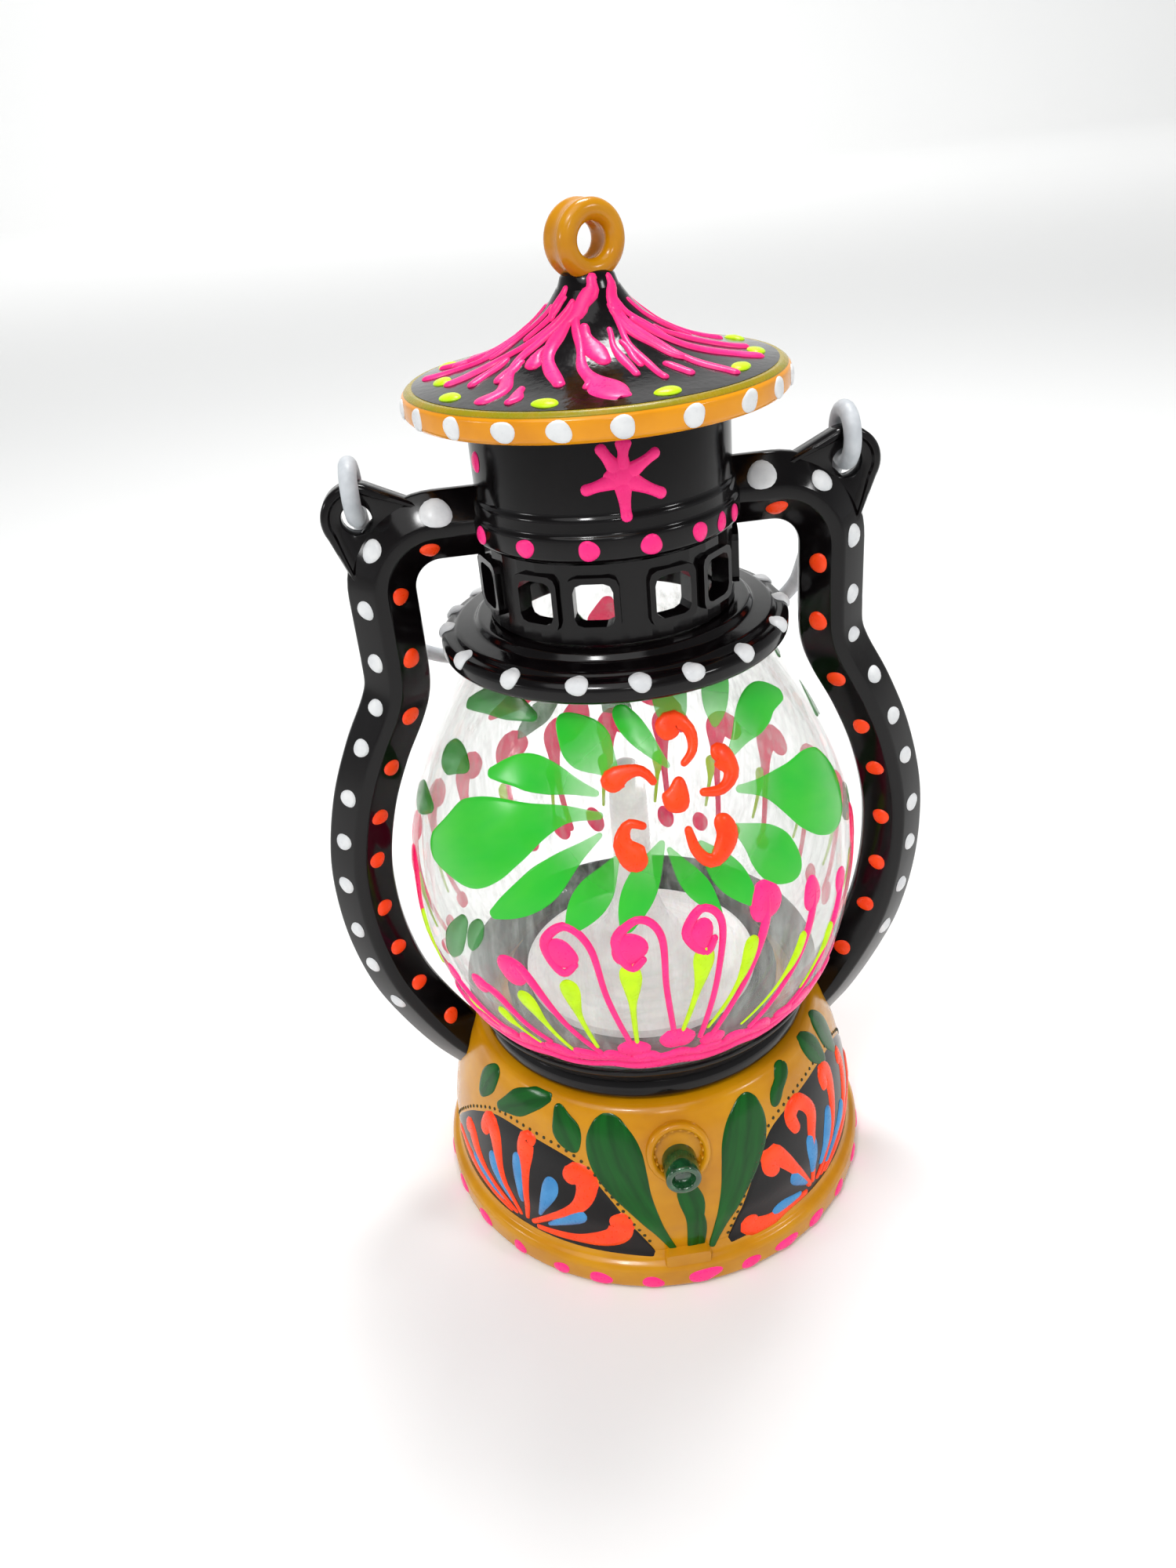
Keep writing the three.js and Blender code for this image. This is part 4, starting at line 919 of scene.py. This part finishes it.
# Strokes down the roof, from the neck out: (angle, radius), then widths.
roofStrokes = [
    ([(-29, 4.2), (-42, 6.6), (-56, 9.8), (-48, 13.4), (-43, 16.4), (-45, 19.4)], [1.0, 1.4, 1.8, 1.8, 2.0, 2.8, 3.4]),
    ([(-24, 4.4), (-18, 7), (-13, 10.6), (-6, 14.4), (1.2, 17.6), (2.4, 18.6)],
     [1.2, 1.6, 1.5, 1.6, 2.0, 3.8, 6.0, 5.4]),
    ([(-27, 5.2), (-38, 8.2), (-28, 11.8), (-20, 15.0)], [1.4, 2.6, 2.4, 2.2, 2.2]),
    ([(-41, 11.8), (-43, 10.0), (-39, 7.6)], [2.4, 2.8, 1.2, 0.8]),
    ([(-14, 6.0), (-8, 8.2), (1, 11.4)], [1.4, 2.6, 3.4, 2.4]),
    ([(-30, 4.0), (-62, 8.4), (-74, 12.6), (-76, 17.4)], [1.0, 1.4, 1.6, 2.2, 2.4]),
    ([(-66, 10.4), (-64, 13.6), (-62, 16.2)], [1.0, 1.8, 2.0, 1.4]),
    ([(-36, 15), (-34, 17), (-35, 19)], [1.0, 1.8, 2.2, 1.6]),
    ([(-94, 6.6), (-92, 11), (-96, 16), (-98, 19.4)], [0.9, 1.4, 1.8, 2.2]),
    ([(22, 4.4), (20, 8), (20, 12), (22, 15.8)], [1.2, 1.2, 1.3, 1.5, 1.3]),
    ([(22, 4.8), (30, 8), (38, 11), (43, 13.2)], [1.4, 1.8, 1.6, 1.8, 1.2]),
    ([(30, 5.2), (40, 10), (44, 15), (45, 19.0)], [1.2, 1.4, 1.5, 1.8, 2.0]),
    ([(38, 6.0), (54, 10), (66, 15), (73, 18.8)], [1.2, 1.8, 2.0, 2.4, 3.0]),
    ([(10, 6.6), (9, 10), (12, 14.2)], [0.8, 1.2, 1.6, 1.4]),
    ([(56, 7.4), (76, 12), (88, 17.4)], [1.0, 1.6, 2.0, 2.0]),
    ([(28, 12.6), (33, 16.2)], [1.0, 1.8, 1.6]),
    ([(8, 2.7), (3, 3.2), (-8, 3.9), (-22, 4.9), (-31, 6.2)], [1.6, 2.0, 2.8, 2.8, 2.2, 1.4]),
    ([(46, 2.9), (40, 3.4), (31, 4.3), (24, 5.6)], [1.2, 1.6, 2.2, 2.4, 1.6]),
    ([(-52, 3.2), (-58, 4.4), (-54, 5.8)], [0.8, 1.4, 1.6, 1.0]),
    ([(-12, 11.6), (-9, 13.4), (-10, 15.8)], [0.9, 1.4, 1.2]),
    ([(-50, 10.4), (-53, 12.4), (-50, 14.6)], [1.0, 2.2, 2.6, 1.4]),
    ([(14, 8.2), (17, 10.4), (16, 12.6)], [0.8, 1.3, 1.0]),
    ([(34, 4.2), (44, 6.2), (52, 8.6), (56, 11.6)], [1.0, 1.4, 1.4, 1.2]),
    ([(-44, 3.8), (-60, 5.6), (-70, 8.2)], [0.8, 1.2, 1.4, 1.0]),
    ([(-70, 4.4), (-82, 7.4), (-86, 11.6)], [0.8, 1.2, 1.4, 1.2]),
    ([(60, 4.4), (72, 7.4), (84, 11)], [0.8, 1.2, 1.4, 1.2]),
]
brushShare = 0.66  # the painter's brush, against the widths above
for i, a in enumerate(range(108, 268, 15)):
    bend = 9 * math.sin(i * 1.7)
    line = [(a, 4.6), (a + bend, 8.6), (a + bend * 1.4, 13), (a + bend * 0.8, 16.6 + 2.2 * (i % 2))]
    roofStrokes.append((line, [1.0, 1.5, 1.7, 2.0, 2.4]))
    roofStrokes.append(([(a + 7, 7.6), (a + 8 + bend * 0.5, 12.4)], [0.8, 1.6, 1.4]))


# A hand-drawn stroke: its line sways by a sine of the way along it, and its width swells and thins
# by another.
def handDrawn(line, widths, turnBy, sway=0.16, swell=0.1):
    drawn = smoothLine(line, 4)
    t = np.arange(len(drawn))
    drawn[1:, 0] += np.degrees(sway / drawn[1:, 1]) * np.sin(0.95 * t[1:] + turnBy)
    thick = smoothLine(widths, 3)
    return drawn, brushShare * thick * (1 + swell * np.sin(1.1 * np.arange(len(thick)) + turnBy))


roofParts = [
    stroke(neckFace, *handDrawn(line, width, 2.1 * i), 0.36) for i, (line, width) in enumerate(roofStrokes)
]
makePiece("roofStrokes", roofParts, pinkPaint)

# Hanging ring: two round lobes side by side, carried round the ring's own axis.
ring = {
    "radius": 2.95, "wire": 1.15, "apart": 1.3, "height": 129.2, "yaw": math.radians(24), "groove": 0.8, "around": 72,
}
lobeY = np.sin(np.linspace(-math.pi / 2, math.pi / 2, 21)) * (ring["wire"] + ring["apart"])
lobeHalf = np.sqrt(np.clip(ring["wire"] ** 2 - (np.abs(lobeY) - ring["apart"]) ** 2, 0, None))
lobeHalf = np.where(np.abs(lobeY) < ring["apart"], np.maximum(lobeHalf, ring["groove"] * ring["wire"]), lobeHalf)
section = np.concatenate([
    np.stack([ring["radius"] + lobeHalf, lobeY], -1), np.stack([ring["radius"] - lobeHalf, lobeY], -1)[::-1][1:-1],
])
ringAngle = np.arange(ring["around"]) * turn / ring["around"]
ringX, ringZ = section[:, :1] * np.sin(ringAngle), ring["height"] + section[:, :1] * np.cos(ringAngle)
ringY = np.broadcast_to(section[:, 1:2], ringX.shape)
c, s = math.cos(ring["yaw"]), math.sin(ring["yaw"])
ringGrid = np.stack([ringX * c - ringY * s, ringX * s + ringY * c, ringZ], -1)
makePiece("hangingRing", [asPart(ringGrid, True, True)], mustardEnamel, replaces=["top_ring"])
footProfile = [(0, 124.4), (3.45, 124.5), (3.2, 125.1), (3.0, 125.7), (2.6, 126.2), (1.6, 126.6), (0, 126.8)]
makePiece("ringFoot", [revolve(footProfile, 64)], blackLacquer)
print("chimney and roof built")


arm = {
    "half": 4.08, "ridge": 0.7, "deep": 3.2, "edge": 0.6, "topHeight": 100.5, "outX": 27.6, "corner": 7.6,
    "side": [(27.6, 85), (27.8, 81), (29, 77.6), (31.9, 72), (34.7, 65), (36.6, 57), (37, 50), (36.4, 43),
             (34.7, 36), (31.9, 30), (28.6, 24.6), (25.6, 21)],
    "earX": 29, "earHeight": 102.4, "earRadius": 4.1, "hole": 1.8,
}
cornerTurn = np.linspace(math.pi / 2, 0, 16)
bendX = arm["outX"] - arm["corner"]
armLine = np.concatenate([
    np.stack([np.linspace(14.4, bendX, 8, endpoint=False), np.full(8, arm["topHeight"])], -1),
    np.stack([
        bendX + arm["corner"] * np.cos(cornerTurn), arm["topHeight"] - arm["corner"] * (1 - np.sin(cornerTurn)),
    ], -1),
    smoothLine(arm["side"], 8),
])
armStep = np.gradient(armLine, axis=0)
armStep /= np.linalg.norm(armStep, axis=1, keepdims=True)
armOut = np.stack([-armStep[:, 1], armStep[:, 0]], -1)
armRun = np.concatenate([[0], np.cumsum(np.linalg.norm(np.diff(armLine, axis=0), axis=1))]) + 1.9


# Arm: a section with a narrow ridge front and back and sloped faces, carried along the middle line; both
# ends close to a point.
def armBar(side):
    half, ridge, deep, edge = arm["half"], arm["ridge"], arm["deep"], arm["edge"]
    section = roundCorners([
        (-half, -edge), (-ridge, -deep), (ridge, -deep), (half, -edge), (half, edge), (ridge, deep), (-ridge, deep),
        (-half, edge),
    ], 0.32, 3)
    flatPoints = armLine[:, None] + armOut[:, None] * section[None, :, :1]
    depth = np.broadcast_to(section[None, :, 1], flatPoints.shape[:2])
    grid = np.stack([side * flatPoints[..., 0], depth, flatPoints[..., 1]], -1)
    caps = grid.mean(1, keepdims=True)
    grid = np.concatenate([np.repeat(caps[:1], grid.shape[1], 1), grid, np.repeat(caps[-1:], grid.shape[1], 1)])
    return asPart(grid)


# Ear: rings of points from the hole's edge out to the lug's outline, with a raised bead along that outline.
def earPlate(side, steps=40):
    a = np.radians(np.linspace(-28, 120, steps))
    arc = np.stack([arm["earX"] + arm["earRadius"] * np.cos(a), arm["earHeight"] + arm["earRadius"] * np.sin(a)], -1)
    corners = np.array([arc[-1], (21.8, 103.4), (24, 96), (30.6, 95), arc[0]])
    share = np.linspace(0, 1, 14, endpoint=False)[:, None]
    sides = np.concatenate([corners[i] + (corners[i + 1] - corners[i]) * share for i in range(4)])
    outline = np.concatenate([arc[:-1], sides])
    centre = np.array([arm["earX"], arm["earHeight"]])
    out = outline - centre
    far = np.linalg.norm(out, axis=1, keepdims=True)
    out = out / far
    hole = arm["hole"]
    back = [(0, hole, 1.0), (0, hole + 0.15, 1.15), (1, 1.1, 1.1), (1, 0.85, 1.4), (1, 0.3, 1.4), (1, 0, 1.1)]
    rows = [(atEdge, offset, -y) for atEdge, offset, y in back] + back[::-1]
    grid = []
    for atEdge, offset, y in rows:
        p = outline - out * offset if atEdge else centre + out * offset
        grid.append(np.stack([side * p[:, 0], np.full(len(p), y), p[:, 1]], -1))
    return asPart(np.array(grid), True, True)


# Drop on an arm's front slope: at a run along the arm and an offset across it.
def armDrop(side, run, offset, wide, tall, seed):
    rng = np.random.default_rng(seed)
    phi = np.arange(18) * turn / 18
    wave = 1 + 0.05 * np.cos(2 * phi + rng.uniform(0, turn)) + 0.04 * np.cos(3 * phi + rng.uniform(0, turn))
    ringShare = np.array([0, 0.4, 0.7, 0.9, 1, 0.5, 0])[:, None]
    lift = np.concatenate([0.42 * np.sqrt(1 - ringShare[:5, 0] ** 2), [-0.1, -0.1]])[:, None]
    s = run + ringShare * wave * np.cos(phi) * tall / 2
    o = offset + ringShare * wave * np.sin(phi) * wide / 2
    middle = np.stack([np.interp(s, armRun, armLine[:, i]) for i in (0, 1)], -1)
    outward = np.stack([np.interp(s, armRun, armOut[:, i]) for i in (0, 1)], -1)
    slopeWide, slopeDeep = arm["half"] - arm["ridge"], arm["deep"] - arm["edge"]
    y = -(arm["edge"] + slopeDeep * np.clip((arm["half"] - np.abs(o)) / slopeWide, 0, 1))
    tip = np.hypot(slopeWide, slopeDeep)
    p = middle + outward * (o + lift * np.sign(offset) * slopeDeep / tip)[..., None]
    return asPart(np.stack([side * p[..., 0], y - lift * slopeWide / tip, p[..., 1]], -1))


# Rows of dots down each arm, by the run along it from the chimney: one big dot by the ear, then an even
# pitch, a little uneven. The numbers are for the left arm (-1) and the right arm (1).
armDots = {
    "white": {
        "first": {-1: 7.5, 1: 5.6}, "pitch": {-1: 6.68, 1: 6.73}, "count": {-1: 12, 1: 12},
        "offset": 2.2, "wide": 1.87, "tall": 2.4,
    },
    "orange": {
        "first": {-1: 19.5, 1: 21.3}, "pitch": {-1: 7.56, 1: 7.95}, "count": {-1: 10, 1: 9},
        "offset": -2.2, "wide": 1.9, "tall": 2.4,
    },
    "bigWhite": {"offset": 1.9, "wide": 2.8, "tall": 3.6},
    "bigOrange": {"run": {-1: 9.1, 1: 8.0}, "tall": 3.2},
    "uneven": 0.35,
}


# Runs of one row: an even pitch with a small sine of the dot's number.
def dotRuns(row, side):
    i = np.arange(row["count"][side])
    return row["first"][side] + row["pitch"][side] * i + armDots["uneven"] * np.sin(2.4 * i + side)


whiteDots, orangeDots = [], []
for side, name, node in ((-1, "armBarLeft", "arm_left"), (1, "armBarRight", "arm_right")):
    makePiece(name, [armBar(side), earPlate(side)], blackLacquer, replaces=[node])
    for i, run in enumerate(dotRuns(armDots["white"], side)):
        look = armDots["white"] if i else armDots["bigWhite"]
        whiteDots.append(armDrop(side, run, look["offset"], look["wide"], look["tall"], i))
    look, big = armDots["orange"], armDots["bigOrange"]
    orangeDots.append(armDrop(side, big["run"][side], look["offset"], look["wide"], big["tall"], 40))
    for i, run in enumerate(dotRuns(look, side)):
        orangeDots.append(armDrop(side, run, look["offset"], look["wide"], look["tall"], 41 + i))
makePiece("armDotsWhite", whiteDots, whitePaint)
makePiece("armDotsOrange", orangeDots, orangePaint)

# Bail: a straight leg from each eye, a quarter circle at each corner and a straight grip between them.
bail = {
    "wire": 1.05, "eye": 3.0, "reach": 43.8, "corner": 13.0, "lean": math.radians(38.9), "pivot": 105.4, "x": 29.0,
}
legReach = np.linspace(bail["eye"], bail["reach"] - bail["corner"], 24)
quarter = np.linspace(0, math.pi / 2, 16)[1:]
halfX = np.concatenate([np.full(24, bail["x"]), bail["x"] - bail["corner"] * (1 - np.cos(quarter))])
halfReach = np.concatenate([legReach, bail["reach"] - bail["corner"] * (1 - np.sin(quarter))])
across = np.linspace(halfX[-1], -halfX[-1], 20)[1:-1]
routeX = np.concatenate([halfX, across, -halfX[::-1]])
routeReach = np.concatenate([halfReach, np.full(18, bail["reach"]), halfReach[::-1]])
away = np.array([0, math.sin(bail["lean"]), -math.cos(bail["lean"])])
route = np.array([0, 0, bail["pivot"]]) + routeReach[:, None] * away
route[:, 0] = routeX
bailNormal = np.cross([1, 0, 0], away)
eyeTurn = np.arange(40) * turn / 40
bailParts = [tubeAlong(route, bail["wire"], bailNormal, 16)]
for side in (-1, 1):
    eye = np.stack([
        np.full(40, side * bail["x"]), bail["eye"] * np.cos(eyeTurn), bail["pivot"] + bail["eye"] * np.sin(eyeTurn),
    ], -1)
    bailParts.append(tubeAlong(eye, bail["wire"], (1, 0, 0), 16, True))
makePiece("wireBail", bailParts, coatedWire, body="bail", replaces=["bail"])
print("arms and bail built")


# Floor: one broad pale sheet of paper that rises in a quarter circle into a backdrop behind.
def paperRoll():
    look = {"half": 3.0, "front": -3.0, "back": 3.0, "bend": 1.2, "top": 3.6, "below": 0.0002, "columns": 13}
    bendTurn = np.linspace(0, math.pi / 2, 24)
    rise = look["back"] + look["bend"] * np.sin(bendTurn)
    y = np.concatenate([[look["front"]], rise, [look["back"] + look["bend"]]])
    z = np.concatenate([[0], look["bend"] * (1 - np.cos(bendTurn)), [look["top"]]]) - look["below"]
    x = np.linspace(-look["half"], look["half"], look["columns"])
    grid = np.stack([*np.broadcast_arrays(x[None], y[:, None], z[:, None])], -1)
    mesh = bpy.data.meshes.new("paperRoll")
    mesh.from_pydata(grid.reshape(-1, 3).tolist(), [], gridFaces(len(y), look["columns"], False).tolist())
    mesh.shade_smooth()
    paper = coatMaterial("paleBackdropPaper", {
        "colour": "#f6f6f5", "shade": "#f5f5f4", "patch": 400, "grain": 200, "roughness": 0.8, "bump": 0.0,
        "depth": 0.01, "specular": 0.05, "soft": 0.5,
    })
    mesh.materials.append(paper)
    floor = bpy.data.objects.new("paperRoll", mesh)
    scene.collection.objects.link(floor)


paperRoll()

lights = [
    {"name": "keyBox", "kind": "AREA", "at": (-0.16, -0.30, 0.55), "aim": (0, 0, 0.09), "size": 0.07, "power": 0.75},
    {"name": "sideBox", "kind": "AREA", "at": (0.42, -0.28, 0.40), "aim": (0, 0, 0.08), "size": 0.09, "power": 0.45},
    {"name": "leftBox", "kind": "AREA", "at": (-0.45, -0.10, 0.22), "aim": (0, 0, 0.09), "size": 0.08, "power": 0.22},
    {"name": "topBox", "kind": "AREA", "at": (0.07, 0.20, 0.62), "aim": (0, 0, 0.1), "size": 0.2, "power": 2.4},
    {"name": "backdropBox", "kind": "AREA", "at": (0, 1.6, 2.2), "aim": (0, 4.2, 0.25), "size": 1.6, "power": 38},
    {"name": "frontLamp", "kind": "AREA", "at": (0.02, -0.42, 0.33), "aim": (0, 0, 0.07), "size": 0.045, "power": 0.16},
    {"name": "wideSun", "kind": "SUN", "at": (-0.5, -1.0, 2.2), "aim": (0, 0, 0), "size": 0.9, "power": 0.95},
]
for look in lights:
    data = bpy.data.lights.new(look["name"], look["kind"])
    data.energy = look["power"]
    if look["kind"] == "AREA":
        data.shape = "RECTANGLE"
        data.size, data.size_y = look["size"], look["size"] * 0.7
    else:
        data.angle = look["size"]
    lamp = bpy.data.objects.new(look["name"], data)
    lamp.location = look["at"]
    lamp.rotation_euler = (Vector(look["aim"]) - Vector(look["at"])).to_track_quat("-Z", "Y").to_euler()
    scene.collection.objects.link(lamp)

world = bpy.data.worlds.new("studioWorld")
world.use_nodes = True
worldTree = world.node_tree
skyPlace = addNode(worldTree, "ShaderNodeTexCoord")
skySplit = addNode(worldTree, "ShaderNodeSeparateXYZ", links={"Vector": skyPlace.outputs["Generated"]})
skyFall = addNode(  # bright at the horizon, as the walls are, and dim overhead, so that the lacquer stays black
    worldTree, "ShaderNodeMapRange", {"From Min": 0.05, "From Max": 0.6, "To Min": 0.7, "To Max": 0.26},
    {"Value": skySplit.outputs["Z"]},
)
background = worldTree.nodes["Background"]
background.inputs["Color"].default_value = linear("#f4f6f8")
worldTree.links.new(skyFall.outputs["Result"], background.inputs["Strength"])
scene.world = world

# Camera: from the front, 30 degrees up, close to the lantern, turned a little clockwise about its own axis.
# Lengths are in millimetres and angles in degrees.
view = {
    "lens": 27.0, "elevation": 29.79, "distance": 158.1, "target": (-5.2, 0.0, 62.7), "roll": -5.56, "yaw": -4.04,
}
elevation, roll = math.radians(view["elevation"]), math.radians(view["roll"])
backward = Vector((0, -math.cos(elevation), math.sin(elevation)))
rightward = Vector((1, 0, 0))
upward = rightward.cross(-backward)
rolledRight = rightward * math.cos(roll) + upward * math.sin(roll)
rolledUp = -rightward * math.sin(roll) + upward * math.cos(roll)
spot = (Vector(view["target"]) + backward * view["distance"]) * mm
turned = Matrix.Rotation(math.radians(view["yaw"]), 4, "Z")
cameraData = bpy.data.cameras.new("studioCamera")
cameraData.lens, cameraData.sensor_width = view["lens"], 36.0
cameraData.clip_start, cameraData.clip_end = 0.005, 20
camera = bpy.data.objects.new("studioCamera", cameraData)
axes = Matrix((rolledRight, rolledUp, backward)).transposed().to_4x4()
camera.matrix_world = turned @ Matrix.Translation(spot) @ axes
scene.collection.objects.link(camera)
scene.camera = camera
print("studio ready")
